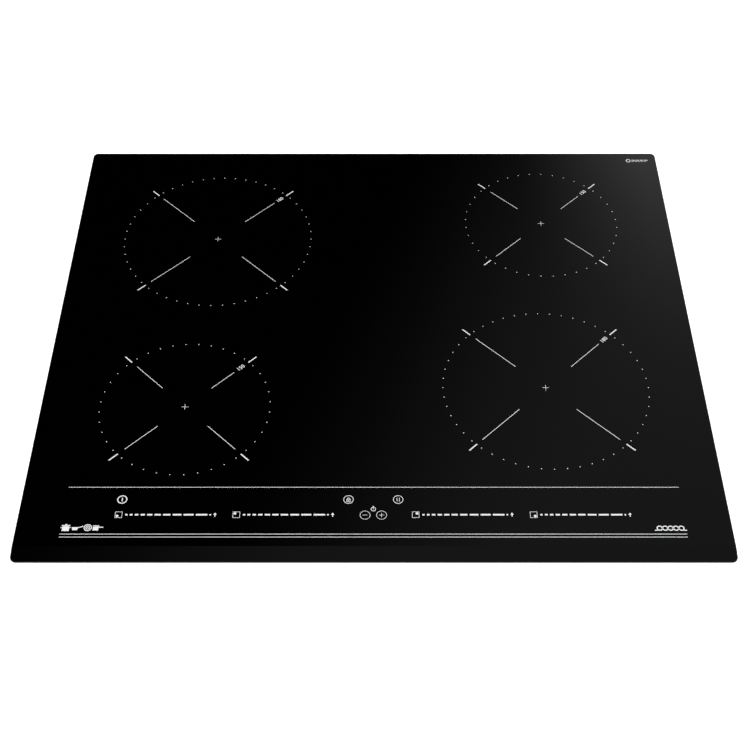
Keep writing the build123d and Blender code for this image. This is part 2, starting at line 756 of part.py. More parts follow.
def can_capacitors():
    """Round electrolytic capacitors with a crimped groove."""
    cans = []
    places = [(side * TALL_PARTS_X, y) for side in SIDES for y in (-36, -10, 16)]
    places += [(28, 62), (28, 84)]
    for x, y in places:
        can = post(x, y, BOARD_TOP, BOARD_TOP + CAN_H, CAN_R)
        can = fillet(can.edges().sort_by(Axis.Z)[-1], 1)
        groove = Pos(x, y, BOARD_TOP + 3.5) * Torus(CAN_R + 0.4, 1.0)
        cans.append(can - groove)
    return cans


def switching_relays():
    """Relays and the small supply transformer."""
    pieces = []
    for side in SIDES:
        for y in (46, 70):
            box = Box(RELAY_W, RELAY_D, RELAY_H)
            box = Pos(side * TALL_PARTS_X, y, BOARD_TOP + RELAY_H / 2) * box
            pieces.append(fillet(box.edges().sort_by(Axis.Z)[-4:], 0.8))
    core = block(12, 42, 104, 130, BOARD_TOP + 1, BOARD_TOP + 21)
    bobbin = block(16, 38, 100, 134, BOARD_TOP, BOARD_TOP + 17)
    pieces.append(core + bobbin)
    return pieces


# ---------------------------------------------------------------- fans

def fan_housing(side):
    """Blower housing: a round scroll with its inlet below and a wide outlet to the heatsink."""
    x = side * FAN_X
    y = FAN_Y
    body = block(x - FAN_HALF, x + FAN_HALF, y - FAN_HALF, y + FAN_HALF, FAN_LOW, FAN_TOP)
    body = fillet(body.edges().filter_by(Axis.Z), 16)
    outlet_front = y - FAN_HALF - 6
    half = FAN_OUTLET_HALF
    body += block(x - half - FAN_WALL, x + half + FAN_WALL, outlet_front, y, FAN_LOW, FAN_TOP)
    inner_low = FAN_LOW + FAN_WALL
    body -= post(x, y, inner_low, FAN_ROOF, FAN_SCROLL_R)
    body -= block(x - half, x + half, outlet_front - 1, y, inner_low, FAN_ROOF)
    body -= post(x, y, 0, inner_low + 1, FAN_INLET_R)
    ear = FAN_HALF - 4
    for ear_side in SIDES:
        body += tube(x + ear_side * ear, y + ear, SHEET, FAN_LOW + 4, 5, 2)
    return body


def fan_motor(side):
    """External-rotor motor's fixed core, hung from the housing's roof, with a plain bearing bore."""
    x = side * FAN_X
    core = post(x, FAN_Y, MOTOR_LOW, FAN_ROOF, MOTOR_R)
    core = fillet(core.edges().sort_by(Axis.Z)[0], 1.5)
    return core - post(x, FAN_Y, MOTOR_LOW - 2, FAN_ROOF - 2.4, SHAFT_R + SHAFT_CLEARANCE)


def fan_shaft(side):
    """Steel shaft pressed into the fan wheel and running in the motor's bearing."""
    return post(side * FAN_X, FAN_Y, CUP_LOW, FAN_ROOF - 3, SHAFT_R)


def fan_wheel(side):
    """Fan wheel: a cup round the motor, a backplate, and curved blades tied by a lower ring."""
    back_top = WHEEL_BACK_LOW + WHEEL_BACK_T
    cup_inner = CUP_R - CUP_T
    wheel = post(0, 0, CUP_LOW, back_top, CUP_R) - post(0, 0, CUP_LOW + CUP_T, back_top + 1, cup_inner)
    wheel += tube(0, 0, WHEEL_BACK_LOW, back_top, WHEEL_R, cup_inner)
    wheel += tube(0, 0, WHEEL_LOW, WHEEL_LOW + WHEEL_BACK_T, WHEEL_R, WHEEL_R - WHEEL_RING_W)
    wheel += post(0, 0, CUP_LOW, CUP_LOW + 3.5, 4)
    blade = Rot(0, 0, BLADE_ANGLE) * Box(BLADE_L, BLADE_T, WHEEL_BACK_LOW - WHEEL_LOW + 0.4)
    blade = Pos(WHEEL_R - 4.2, 0, (WHEEL_LOW + WHEEL_BACK_LOW) / 2) * blade
    wheel = wheel.fuse(*[Rot(0, 0, angle) * blade for angle in around(BLADE_COUNT)])
    wheel -= post(0, 0, 0, FAN_TOP, SHAFT_R)
    return Pos(side * FAN_X, FAN_Y, 0) * wheel


# ---------------------------------------------------------------- mains inlet, terminals and filter

def pole_centres():
    """X of each pole of the terminal block."""
    return [BLOCK_X[0] + POLE_PITCH * (k + 0.5) for k in range(POLES)]


def terminal_box():
    """Plastic tub round the terminals, open to the rear, with bearing ears for the flap's pins."""
    rear = TRAY_IN_Y
    floor_top = SHEET + BOX_WALL
    inner_half = BOX_HALF_W - BOX_WALL
    box = block(-BOX_HALF_W, BOX_HALF_W, BOX_FRONT, rear, SHEET, BOX_TOP)
    low_rear_edge = box.edges().filter_by(Axis.X).sort_by(lambda e: e.center().Z - e.center().Y)[0]
    box = fillet(low_rear_edge, FOLD_R - SHEET + 0.1)
    box -= block(-inner_half, inner_half, BOX_FRONT + BOX_WALL, rear + 1, floor_top, BOX_TOP - BOX_WALL)
    box += block(FLAP_RIGHT + 0.4, FLAP_RIGHT + 2.4, rear - 8, rear, floor_top, FLAP_AXIS_Z + 4)
    pin_r = FLAP_PIN_R + SHAFT_CLEARANCE
    box -= rod_x(-BOX_HALF_W - 1, FLAP_LEFT, FLAP_AXIS_Y, FLAP_AXIS_Z, pin_r)
    box -= rod_x(FLAP_RIGHT, FLAP_RIGHT + 4, FLAP_AXIS_Y, FLAP_AXIS_Z, pin_r)
    wire_holes = [rod_y(x, BOX_FRONT - 1, BOX_FRONT + 3, MAINS_WIRE_Z, 2.6) for x in pole_centres()]
    return box.cut(*wire_holes)


def terminal_flap():
    """Flap over the terminals: a panel that folds down to the rear on two pins at its lower edge."""
    rear = TRAY_D / 2
    flap = block(FLAP_LEFT, FLAP_RIGHT, rear - FLAP_T, rear, FLAP_AXIS_Z, FLAP_TOP)
    flap += rod_x(FLAP_LEFT, FLAP_RIGHT, FLAP_AXIS_Y, FLAP_AXIS_Z, FLAP_T)
    flap += rod_x(FLAP_LEFT - 1.8, FLAP_RIGHT + 2.3, FLAP_AXIS_Y, FLAP_AXIS_Z, FLAP_PIN_R)
    middle = (FLAP_LEFT + FLAP_RIGHT) / 2
    flap += block(middle - 10, middle + 10, rear, rear + 1.2, FLAP_TOP - 5, FLAP_TOP - 3.4)
    for x in (middle - 18, middle + 18):
        flap += block(x - 3, x + 3, FLAP_AXIS_Y - 5, FLAP_AXIS_Y, FLAP_TOP - 2.2, FLAP_TOP - 0.8)
    for z in (12, 16, 20):
        flap -= block(FLAP_LEFT + 8, FLAP_RIGHT - 8, rear - 0.5, rear + 1, z - 0.6, z + 0.6)
    return flap


def terminal_block():
    """Six-pole terminal block with conductor holes to the rear and screw wells on top."""
    x0, x1 = BLOCK_X
    y0, y1 = BLOCK_Y
    body = block(x0, x1, y0, y1, BLOCK_LOW, BLOCK_TOP)
    cuts = [block(x0 - 1, x1 + 1, y1 - BLOCK_STEP_D, y1 + 1, BLOCK_STEP_Z, BLOCK_TOP + 1)]
    for x in pole_centres():
        cuts.append(rod_y(x, y1 - BLOCK_STEP_D - 2, y1 + 1, CONDUCTOR_Z, CONDUCTOR_HOLE_R))
        cuts.append(post(x, y0 + WELL_INSET, BLOCK_STEP_Z, BLOCK_TOP + 1, WELL_R))
        cuts.append(rod_y(x, y0 - 1, y0 + 4, MAINS_WIRE_Z, MAINS_WIRE_R + 0.3))
    # grooves between the poles
    for k in range(1, POLES):
        x = x0 + POLE_PITCH * k
        cuts.append(block(x - 0.5, x + 0.5, y0 - 1, y1 - BLOCK_STEP_D, BLOCK_STEP_Z + 1, BLOCK_TOP + 1))
    return body.cut(*cuts)


def terminal_screws():
    """Slotted brass screws in the terminal block."""
    y = BLOCK_Y[0] + WELL_INSET
    top = BLOCK_TOP - 2.5
    screws = []
    for x in pole_centres():
        screw = post(x, y, BLOCK_STEP_Z, top, WELL_R - 0.2)
        screws.append(screw - block(x - WELL_R, x + WELL_R, y - 0.5, y + 0.5, top - 1, top + 1))
    return screws


def cable_inlet():
    """Snap-in bush in the tray's rear wall, which the mains cord passes through."""
    rear = TRAY_D / 2
    bush = rod_y(INLET_X, INLET_INNER_Y, rear, INLET_Z, INLET_BODY_R)
    bush += rod_y(INLET_X, rear, rear + INLET_FLANGE_T, INLET_Z, INLET_FLANGE_R)
    bush += rod_y(INLET_X, rear - 5, TRAY_IN_Y, INLET_Z, INLET_FLANGE_R - 1.5)
    bush -= rod_y(INLET_X, INLET_INNER_Y - 1, rear + 4, INLET_Z, INLET_BORE_R)
    mouth = bush.faces().sort_by(Axis.Y)[-1].edges().sort_by(lambda e: e.length)[0]
    return fillet(mouth, INLET_LIP_R)


def cord_clamp():
    """Saddle and strap that would grip the mains cord inside the box."""
    floor = SHEET + BOX_WALL
    y0, y1 = 204.0, 214.0
    half = 15.0
    saddle = block(INLET_X - half, INLET_X + half, y0, y1, floor, INLET_Z - 2)
    saddle -= rod_y(INLET_X, y0 - 1, y1 + 1, INLET_Z, INLET_BORE_R)
    strap = block(INLET_X - half, INLET_X + half, y0, y1, INLET_Z + 4, INLET_Z + 8)
    strap -= rod_y(INLET_X, y0 - 1, y1 + 1, INLET_Z, INLET_BORE_R)
    pieces = [saddle, strap]
    y = (y0 + y1) / 2
    for side in SIDES:
        x = INLET_X + side * (half - 4)
        shank = post(x, y, INLET_Z - 9, INLET_Z + 8, 1.6)
        pieces = [piece - shank for piece in pieces]
        pieces.append(shank + post(x, y, INLET_Z + 8, INLET_Z + 9.6, 3.0))
    return pieces


def filter_board():
    """Mains filter board between the terminal box and the power boards."""
    board = block(*FILTER_BOARD, BOARD_LOW, BOARD_TOP)
    board = fillet(board.edges().filter_by(Axis.Z), 2)
    return board.cut(*pin_holes(corners(FILTER_BOARD, FILTER_POST_INSET)))


def choke_core():
    """Ferrite ring on a small plastic base."""
    low = BOARD_TOP + 4
    ring = tube(CHOKE_X, CHOKE_Y, low, low + CHOKE_H, CHOKE_R, CHOKE_BORE)
    base = Pos(CHOKE_X, CHOKE_Y, BOARD_TOP + 1) * Box(34, 34, 2)
    base = fillet(base.edges().filter_by(Axis.Z), 4)
    return [ring, base]


def choke_winding():
    """Two halves of thick enamelled wire round the choke's ring."""
    middle = (CHOKE_R + CHOKE_BORE) / 2
    z = BOARD_TOP + 4 + CHOKE_H / 2
    wire_t = 1.8
    gap = 0.1
    inner_w = CHOKE_R - CHOKE_BORE + 0.6
    inner_h = CHOKE_H + 2 * gap
    turn = Box(inner_w + 2 * wire_t, wire_t, inner_h + 2 * wire_t) - Box(inner_w, 3, inner_h)
    turns = []
    for half in (0, 180):
        for angle in spread(half - 60, half + 60, CHOKE_TURNS):
            turns.append(Pos(CHOKE_X, CHOKE_Y, z) * Rot(0, 0, angle) * Pos(middle, 0, 0) * turn)
    return turns


def mains_fuse():
    """Glass-tube fuse in two clips."""
    y = 165.0
    tube_body = rod_x(16, 36, y, BOARD_TOP + 5, 2.5)
    clips = []
    for x in (14.0, 34.0):
        clip = block(x, x + 4, y - 3.5, y + 3.5, BOARD_TOP, BOARD_TOP + 7)
        clip -= block(x - 1, x + 5, y - 2.5, y + 2.5, BOARD_TOP + 1, BOARD_TOP + 8)
        clips.append(clip)
    return [tube_body] + clips


def mains_wires():
    """Phase and neutral wires from the terminal block, and feeds from the filter to both power boards."""
    wires = []
    for x, end_x in zip(pole_centres()[1:3], (-38.0, -24.0)):
        start = BLOCK_Y[0] + 4
        points = [(x, start, MAINS_WIRE_Z), (x, 182, MAINS_WIRE_Z)]
        points += [(end_x, 168, MAINS_WIRE_Z), (end_x, 168, BOARD_TOP)]
        wires.append(wire(points, MAINS_WIRE_R, 2.5))
    for side in SIDES:
        for y in (72.0, 112.0):
            end_x = side * (POWER_BOARD[0] + 6)
            end_y = min(y, POWER_BOARD[3] - 12)
            points = [(side * 45, y, BOARD_TOP), (side * 45, y, 17), (end_x, end_y, 17)]
            points.append((end_x, end_y, BOARD_TOP))
            wires.append(wire(points, 1.3, 3.5))
    return wires


def earth_wire():
    """Earth wire from the terminal block to the stud on the tray's floor."""
    x = pole_centres()[0]
    stud_y = 182.0
    stud_top = 5.2
    lug_top = stud_top + 1
    points = [(x, BLOCK_Y[0] + 4, MAINS_WIRE_Z), (x, stud_y, MAINS_WIRE_Z), (x, stud_y, lug_top)]
    lug = tube(x, stud_y, stud_top, lug_top, 4, 1)
    stud = post(x, stud_y, SHEET, stud_top, 3)
    return [wire(points, MAINS_WIRE_R, 2.5), lug, stud]


# ---------------------------------------------------------------- touch control

def control_carrier():
    """Long plastic frame that holds the touch board up against the glass."""
    half = CONTROL_HALF_W
    wall = CONTROL_WALL
    frame = block(-half, half, CONTROL_FRONT, CONTROL_REAR, CONTROL_LOW, CONTROL_TOP)
    frame = fillet(frame.edges().filter_by(Axis.Z), 3)
    frame -= block(-half + wall, half - wall, CONTROL_FRONT + wall, CONTROL_REAR - wall,
                   CONTROL_LOW + wall, CONTROL_TOP + 1)
    for x in spread(-half + 30, half - 30, 6):
        frame += post(x, CONTROL_FRONT + 6, CONTROL_LOW + wall, CONTROL_BOARD_LOW, 3)
        frame += post(x, CONTROL_REAR - 6, CONTROL_LOW + wall, CONTROL_BOARD_LOW, 3)
    slot = Pos(0, CONTROL_REAR - RIBBON_INSET, CONTROL_LOW) * Box(RIBBON_W + 6, 4.5, 4)
    return frame - slot


def control_board():
    """Touch board with its sensor and display electronics."""
    half = CONTROL_HALF_W - CONTROL_BOARD_GAP
    front = CONTROL_FRONT + CONTROL_BOARD_GAP
    rear = CONTROL_REAR - CONTROL_BOARD_GAP
    board = block(-half, half, front, rear, CONTROL_BOARD_LOW, CONTROL_BOARD_LOW + BOARD_T)
    for x in spread(-150, 150, 4):
        board += block(x - 5, x + 5, rear - 12, rear - 4, CONTROL_BOARD_LOW - 1.2, CONTROL_BOARD_LOW)
    return board


def touch_pads():
    """Conductive foam pads under the sliders and keys."""
    places = list(KEY_PADS)
    for start in SLIDER_STARTS:
        places += [(x, SLIDER_Y) for x in spread(start + 9, start + SLIDER_L - 6, PADS_PER_SLIDER)]
    return [post(x, y, PAD_LOW, GLASS_LOW, PAD_R) for x, y in places]


def led_displays():
    """Digit displays behind the glass: one for each zone and one for the timer."""
    centres = [start + 20 for start in SLIDER_STARTS] + [0]
    return [Pos(x, DISPLAY_Y, PAD_LOW + 2.8) * Box(10, 8, 5.6) for x in centres]


def ribbon_cable():
    """Flat cable from the touch board to the filter board."""
    y = CONTROL_REAR - RIBBON_INSET
    path = FilletPolyline(
        (0, y, CONTROL_BOARD_LOW), (0, y, 24), (0, 30, 24), (0, 46, 19), (0, 46, BOARD_TOP), radius=3.0
    )
    start = Plane(origin=path @ 0, x_dir=(1, 0, 0), z_dir=path % 0)
    return sweep(start * Rectangle(RIBBON_W, RIBBON_T), path=path)


# ---------------------------------------------------------------- write every piece

os.makedirs("parts", exist_ok=True)

save("glass_plate", glass_plate())
save("sealing_tape", *sealing_tape())
save("glass_adhesive", *glass_adhesive())
save("support_rails", *[side_rail(side) for side in SIDES], *[cross_rail(side) for side in SIDES])
save("base_tray", base_tray())
save("tray_screws", *tray_screws())
save("clamp_brackets", *[clamp_bracket(x_side, y_side) for x_side in SIDES for y_side in SIDES])

for x_side, x_name in zip(SIDES, ("left", "right")):
    for y_side, y_name in zip(SIDES, ("front", "rear")):
        save(f"clamp_screw_{y_name}_{x_name}", clamp_screw(x_side, y_side))
        save(f"clamp_arm_{y_name}_{x_name}", clamp_arm(x_side, y_side))

for zone_name in ZONES:
    save(f"coil_winding_{zone_name}", coil_winding(zone_name))
    save(f"coil_former_{zone_name}", coil_former(zone_name))
save("ferrite_bars", *ferrite_bars())
save("mica_discs", *mica_discs())
save("coil_sensors", *coil_sensors(), *sensor_wires())
save("coil_leads", *coil_leads())
save("coil_carriers", *[coil_carrier(side) for side in SIDES])
save("carrier_springs", *carrier_springs())
save("floor_posts", *carrier_posts(), *board_standoffs())

for side, name in zip(SIDES, ("left", "right")):
    save(f"fan_wheel_{name}", fan_wheel(side))
    save(f"fan_shaft_{name}", fan_shaft(side))
save("fan_housings", *[fan_housing(side) for side in SIDES])
save("fan_motors", *[fan_motor(side) for side in SIDES])

save("power_boards", *[power_board(side) for side in SIDES])
save("heatsinks", *[heatsink(side) for side in SIDES])
save("power_transistors", *power_transistors())
save("film_capacitors", *film_capacitors())
save("can_capacitors", *can_capacitors())
save("switching_relays", *switching_relays())

save("terminal_box", terminal_box())
save("terminal_flap", terminal_flap())
save("terminal_block", terminal_block())
save("terminal_screws", *terminal_screws())
save("cable_inlet", cable_inlet())
save("cord_clamp", *cord_clamp())
save("filter_board", filter_board())
save("choke_core", *choke_core())
save("choke_winding", *choke_winding())
save("mains_fuse", *mains_fuse())
save("mains_wires", *mains_wires())
save("earth_wire", *earth_wire())

save("control_carrier", control_carrier())
save("control_board", control_board())
save("touch_pads", *touch_pads())
save("led_displays", *led_displays())
save("ribbon_cable", ribbon_cable())
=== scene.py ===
"""Looks of the built-in induction hob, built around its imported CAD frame.

The glass, tray, clamps and every other hard piece are the CAD nodes with better materials.
The print on the glass and the litz turns of the coils are modelled here. Lengths are in metres.
"""

import json
import math

import bmesh
import bpy
from mathutils import Matrix, Vector

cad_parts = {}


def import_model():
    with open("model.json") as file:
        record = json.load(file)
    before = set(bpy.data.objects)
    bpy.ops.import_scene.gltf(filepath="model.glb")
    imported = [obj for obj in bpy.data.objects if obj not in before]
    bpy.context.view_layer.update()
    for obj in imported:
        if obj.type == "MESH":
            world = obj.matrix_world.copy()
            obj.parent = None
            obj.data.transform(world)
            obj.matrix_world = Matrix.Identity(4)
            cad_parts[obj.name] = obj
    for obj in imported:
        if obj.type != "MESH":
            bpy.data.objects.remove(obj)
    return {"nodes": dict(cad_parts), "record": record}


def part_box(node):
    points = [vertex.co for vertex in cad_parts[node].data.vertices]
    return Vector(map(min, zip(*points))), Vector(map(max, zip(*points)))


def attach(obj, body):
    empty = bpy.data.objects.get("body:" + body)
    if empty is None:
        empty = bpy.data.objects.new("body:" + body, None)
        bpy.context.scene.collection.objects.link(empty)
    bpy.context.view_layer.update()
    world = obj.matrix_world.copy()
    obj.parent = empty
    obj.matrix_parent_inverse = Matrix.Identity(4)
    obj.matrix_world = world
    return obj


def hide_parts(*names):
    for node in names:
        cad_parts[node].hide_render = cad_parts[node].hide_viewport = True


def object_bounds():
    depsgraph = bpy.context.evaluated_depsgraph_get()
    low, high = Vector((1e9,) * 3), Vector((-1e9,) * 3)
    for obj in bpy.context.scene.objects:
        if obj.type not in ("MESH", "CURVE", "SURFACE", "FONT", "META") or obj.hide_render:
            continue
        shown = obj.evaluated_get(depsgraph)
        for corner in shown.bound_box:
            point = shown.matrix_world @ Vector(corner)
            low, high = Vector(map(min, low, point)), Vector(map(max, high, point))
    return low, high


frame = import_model()
cad_low, cad_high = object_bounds()

MM = 0.001
ROOT = "hob_body"
record = frame["record"]
nodes = frame["nodes"]
BASE_COLOURS = {m["slot"]: tuple(m["base_color"][:3]) for m in record["materials"]}

glass_low, glass_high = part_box("glass_plate")
GLASS_TOP = glass_high.z
FRONT_MM = glass_low.y / MM
REAR_MM = glass_high.y / MM
RIGHT_MM = glass_high.x / MM

# ---------------------------------------------------------------- shader helpers


NOISE_ROUGHNESS = 0.55


class NodeTree:
    """A node tree, with short calls for adding and joining nodes."""

    def __init__(self, tree):
        self.tree = tree
        self.tree.nodes.clear()

    def add(self, kind, settings=None, **inputs):
        """Adds a node. Settings are its properties. Inputs are values or sockets.

        An input is named with _ for a space, or is i and its number.
        """
        node = self.tree.nodes.new("ShaderNode" + kind)
        for key, value in (settings or {}).items():
            setattr(node, key, value)
        for key, value in inputs.items():
            numbered = key[0] == "i" and key[1:].isdigit()
            self.put(value, node.inputs[int(key[1:]) if numbered else key.replace("_", " ")])
        return node

    def put(self, value, socket):
        """A socket is linked; anything else is set as the socket's value."""
        if isinstance(value, bpy.types.NodeSocket):
            self.tree.links.new(value, socket)
        else:
            socket.default_value = value

    def ramp(self, value, low, high, start=0.0, stop=1.0, kind="LINEAR"):
        """A value moved from the range start..stop to low..high, and kept inside it."""
        node = self.add("MapRange", {"interpolation_type": kind}, Value=value)
        node.inputs["From Min"].default_value = start
        node.inputs["From Max"].default_value = stop
        node.inputs["To Min"].default_value = low
        node.inputs["To Max"].default_value = high
        return node.outputs["Result"]

    def maths(self, operation, a, b=0.0):
        """One step of arithmetic."""
        return self.add("Math", {"operation": operation}, i0=a, i1=b).outputs["Value"]


class Shader(NodeTree):
    """The nodes of a new material, which end in a Principled shader."""

    def __init__(self, name):
        self.material = bpy.data.materials.new(name)
        self.material.use_nodes = True
        super().__init__(self.material.node_tree)
        output = self.add("OutputMaterial")
        self.bsdf = self.add("BsdfPrincipled")
        self.tree.links.new(self.bsdf.outputs["BSDF"], output.inputs["Surface"])
        self.place = self.add("TexCoord").outputs["Object"]

    def set(self, **inputs):
        """Values or sockets for the Principled shader."""
        for key, value in inputs.items():
            self.put(value, self.bsdf.inputs[key.replace("_", " ")])

    def stretched(self, scale):
        """Object coordinates stretched by a scale along each axis."""
        return self.add("Mapping", Vector=self.place, Scale=scale).outputs["Vector"]

    def noise(self, scale, detail=3.0, vector=None):
        """Noise from 0 to 1."""
        place = vector or self.place
        node = self.add("TexNoise", Vector=place, Scale=scale, Detail=detail, Roughness=NOISE_ROUGHNESS)
        return node.outputs["Fac"]

    def mix(self, factor, a, b):
        """A colour between a and b."""
        node = self.add("Mix", {"data_type": "RGBA"}, i0=factor)
        self.put(a, node.inputs[6])
        self.put(b, node.inputs[7])
        return node.outputs[2]

    def bump(self, height, depth, under=None):
        """A bump of the given depth in metres, on top of another one if given."""
        node = self.add("Bump", Height=height, Distance=depth, Strength=1.0)
        if under:
            self.put(under, node.inputs["Normal"])
        return node.outputs["Normal"]


def shade(colour, factor):
    """A colour made lighter or darker, with full alpha."""
    return tuple(min(1.0, c * factor) for c in colour) + (1.0,)


# ---------------------------------------------------------------- materials

def plain(slot, roughness, metallic=0.0, vary=0.12, patch=60.0, grain=2500.0, depth=0.02 * MM):
    """Moulded, rubbery or cast surface: soft patches in colour and gloss over a fine grain."""
    s = Shader(slot)
    colour = BASE_COLOURS[slot]
    patches = s.noise(patch, 4.0)
    fine = s.noise(grain, 2.0)
    s.set(
        Base_Color=s.mix(patches, shade(colour, 1 - vary), shade(colour, 1 + vary)),
        Roughness=s.ramp(patches, roughness - 0.07, roughness + 0.07),
        Metallic=metallic,
        Normal=s.bump(fine, depth),
    )
    return s.material


def brushed(slot, roughness, along="X", vary=0.1):
    """Rolled or drawn metal with fine lines along one axis and a few dull patches."""
    s = Shader(slot)
    colour = BASE_COLOURS[slot]
    scale = {"X": (40, 3000, 3000), "Y": (3000, 40, 3000), "Z": (3000, 3000, 40)}[along]
    lines = s.noise(1.0, 2.0, s.stretched(scale))
    patches = s.noise(35.0, 4.0)
    tone = s.maths("MULTIPLY", lines, patches)
    s.set(
        Base_Color=s.mix(tone, shade(colour, 1 - vary), shade(colour, 1 + vary)),
        Roughness=s.ramp(tone, roughness - 0.06, roughness + 0.12, 0.1, 0.5),
        Metallic=1.0,
        Normal=s.bump(lines, 0.004 * MM),
    )
    return s.material


def galvanised(slot):
    """Zinc-coated sheet: flat crystals with their own tone and gloss, rolling lines, scuffs."""
    s = Shader(slot)
    colour = BASE_COLOURS[slot]
    warp = s.add("TexNoise", Vector=s.place, Scale=90.0, Detail=2.0).outputs["Color"]
    bent = s.add("VectorMath", {"operation": "MULTIPLY_ADD"}, i0=warp, i1=(0.006,) * 3, i2=s.place)
    crystal = s.add("TexVoronoi", {"feature": "F1"}, Vector=bent.outputs["Vector"], Scale=95.0)
    tone = s.add("SeparateColor", Color=crystal.outputs["Color"])
    streak = s.noise(1.0, 3.0, s.stretched((30, 1400, 1400)))
    dull = s.noise(14.0, 5.0)
    mixed = s.maths("MULTIPLY_ADD", tone.outputs[0], 0.55)
    s.put(s.maths("MULTIPLY", dull, 0.45), mixed.node.inputs[2])
    base = s.mix(mixed, shade(colour, 0.50), shade(colour, 0.92))
    rough = s.ramp(tone.outputs[1], 0.30, 0.46)
    rough = s.maths("ADD", rough, s.ramp(dull, -0.04, 0.10))
    height = s.maths("ADD", s.maths("MULTIPLY", tone.outputs[2], 0.6), s.maths("MULTIPLY", streak, 0.4))
    s.set(Base_Color=base, Roughness=rough, Metallic=1.0, Normal=s.bump(height, 0.008 * MM))
    return s.material


# Painted shade on the glass's edge faces: the share of a polished face's reflection that they keep, cut
# down so that the edges read dark
PAINTED_EDGE_SHADE = 0.15
WHITE = (1.0, 1.0, 1.0, 1.0)
# The upward part of the normal at which the glass is all ground edge, and all polished face
EDGE_NORMAL_Z = (0.90, 0.97)
GLASS_IOR = 1.5


def glass_ceramic(slot):
    """Black glass-ceramic: polished faces with faint smears, and rough ground edges whose reflection is
    cut down as painted shade.
    """
    s = Shader(slot)
    colour = BASE_COLOURS[slot]
    normal = s.add("SeparateXYZ", Vector=s.add("NewGeometry").outputs["True Normal"])
    edge = s.ramp(normal.outputs["Z"], 1.0, 0.0, *EDGE_NORMAL_Z)
    smear = s.noise(22.0, 5.0, s.stretched((1.0, 0.35, 1.0)))
    grind = s.noise(3500.0, 2.0)
    polished = s.ramp(smear, 0.025, 0.060)
    ground = s.ramp(grind, 0.22, 0.38)
    rough = s.add("Mix", {"data_type": "FLOAT"}, i0=edge, i2=polished, i3=ground)
    bumps = s.maths("MULTIPLY", grind, edge)
    s.set(
        Base_Color=s.mix(edge, shade(colour, 0.02), shade(colour, 0.5)),
        Roughness=rough.outputs[0],
        # painted shade: the edge faces keep only a small share of the reflection, so that they read
        # dark
        Specular_Tint=s.mix(edge, WHITE, shade(WHITE[:3], PAINTED_EDGE_SHADE)),
        Normal=s.bump(bumps, 0.01 * MM),
    )
    s.bsdf.inputs["IOR"].default_value = GLASS_IOR
    return s.material


def enamel_print(slot):
    """Pale ceramic ink fired onto the glass: slightly uneven in tone, satin, with a pebbly skin."""
    s = Shader(slot)
    colour = BASE_COLOURS[slot]
    speckle = s.noise(2600.0, 3.0)
    s.set(
        Base_Color=s.mix(speckle, shade(colour, 1.02), shade(colour, 1.14)),
        Roughness=s.ramp(speckle, 0.38, 0.58),
        Normal=s.bump(speckle, 0.01 * MM),
    )
    return s.material


def foam(slot):
    """Closed-cell foam with open pores on its cut faces."""
    s = Shader(slot)
    colour = BASE_COLOURS[slot]
    cells = s.add("TexVoronoi", Vector=s.place, Scale=1900.0).outputs["Distance"]
    patches = s.noise(40.0, 3.0)
    tone = s.maths("MULTIPLY", cells, 1.3)
    s.set(
        Base_Color=s.mix(tone, shade(colour, 0.5), shade(colour, 1.7)),
        Roughness=s.ramp(patches, 0.82, 0.96),
        Normal=s.bump(cells, 0.15 * MM),
    )
    s.bsdf.inputs["Specular IOR Level"].default_value = 0.3
    return s.material


def litz(slot):
    """Twisted bundle of enamelled copper strands, on a UV map with U along and V around the bundle."""
    s = Shader(slot)
    colour = BASE_COLOURS[slot]
    along = s.add("UVMap").outputs["UV"]
    bands = {"wave_type": "BANDS", "bands_direction": "DIAGONAL", "wave_profile": "SIN"}
    strands = s.add("TexWave", bands, Vector=along, Scale=3.2, Distortion=0.4, Detail=1.0)
    patches = s.noise(120.0, 3.0)
    s.set(
        Base_Color=s.mix(strands.outputs["Fac"], shade(colour, 0.45), shade(colour, 1.25)),
        Roughness=s.ramp(patches, 0.28, 0.45),
        Metallic=0.9,
        Normal=s.bump(strands.outputs["Fac"], 0.12 * MM),
    )
    s.bsdf.inputs["Coat Weight"].default_value = 0.3
    return s.material


TIN = (0.62, 0.60, 0.55, 1.0)


def circuit_board(slot):
    """Green solder mask over copper tracks, with rows of tinned pads and a woven glass grain."""
    s = Shader(slot)
    colour = BASE_COLOURS[slot]
    layout = {"offset": 0.35, "squash": 0.6, "squash_frequency": 3}
    tracks = s.add("TexBrick", layout, Vector=s.place, Scale=55.0)
    tracks.inputs["Mortar Size"].default_value = 0.035
    tracks.inputs["Brick Width"].default_value = 0.9
    tracks.inputs["Row Height"].default_value = 0.22
    pads = s.add("TexVoronoi", {"feature": "F1"}, Vector=s.place, Scale=210.0, Randomness=0.15)
    pad = s.ramp(pads.outputs["Distance"], 1.0, 0.0, 0.10, 0.16)
    grain = s.noise(900.0, 2.0, s.stretched((1.0, 4.0, 1.0)))
    mask = s.mix(tracks.outputs["Fac"], shade(colour, 0.75), shade(colour, 1.6))
    s.set(
        Base_Color=s.mix(pad, mask, TIN),
        Metallic=pad,
        Roughness=s.ramp(grain, 0.25, 0.40),
        Normal=s.bump(tracks.outputs["Fac"], 0.03 * MM, under=s.bump(grain, 0.01 * MM)),
    )
    return s.material


def fuse_glass(slot):
    """Clear tube of a fuse, faintly ribbed by drawing."""
    s = Shader(slot)
    ribs = s.noise(1.0, 2.0, s.stretched((2500, 80, 80)))
    s.set(
        Base_Color=shade(BASE_COLOURS[slot], 1.0),
        Roughness=s.ramp(ribs, 0.03, 0.12),
        Normal=s.bump(ribs, 0.004 * MM),
    )
    s.bsdf.inputs["Transmission Weight"].default_value = 0.6
    return s.material


CONDUCTOR_PITCH = 1.27 * MM


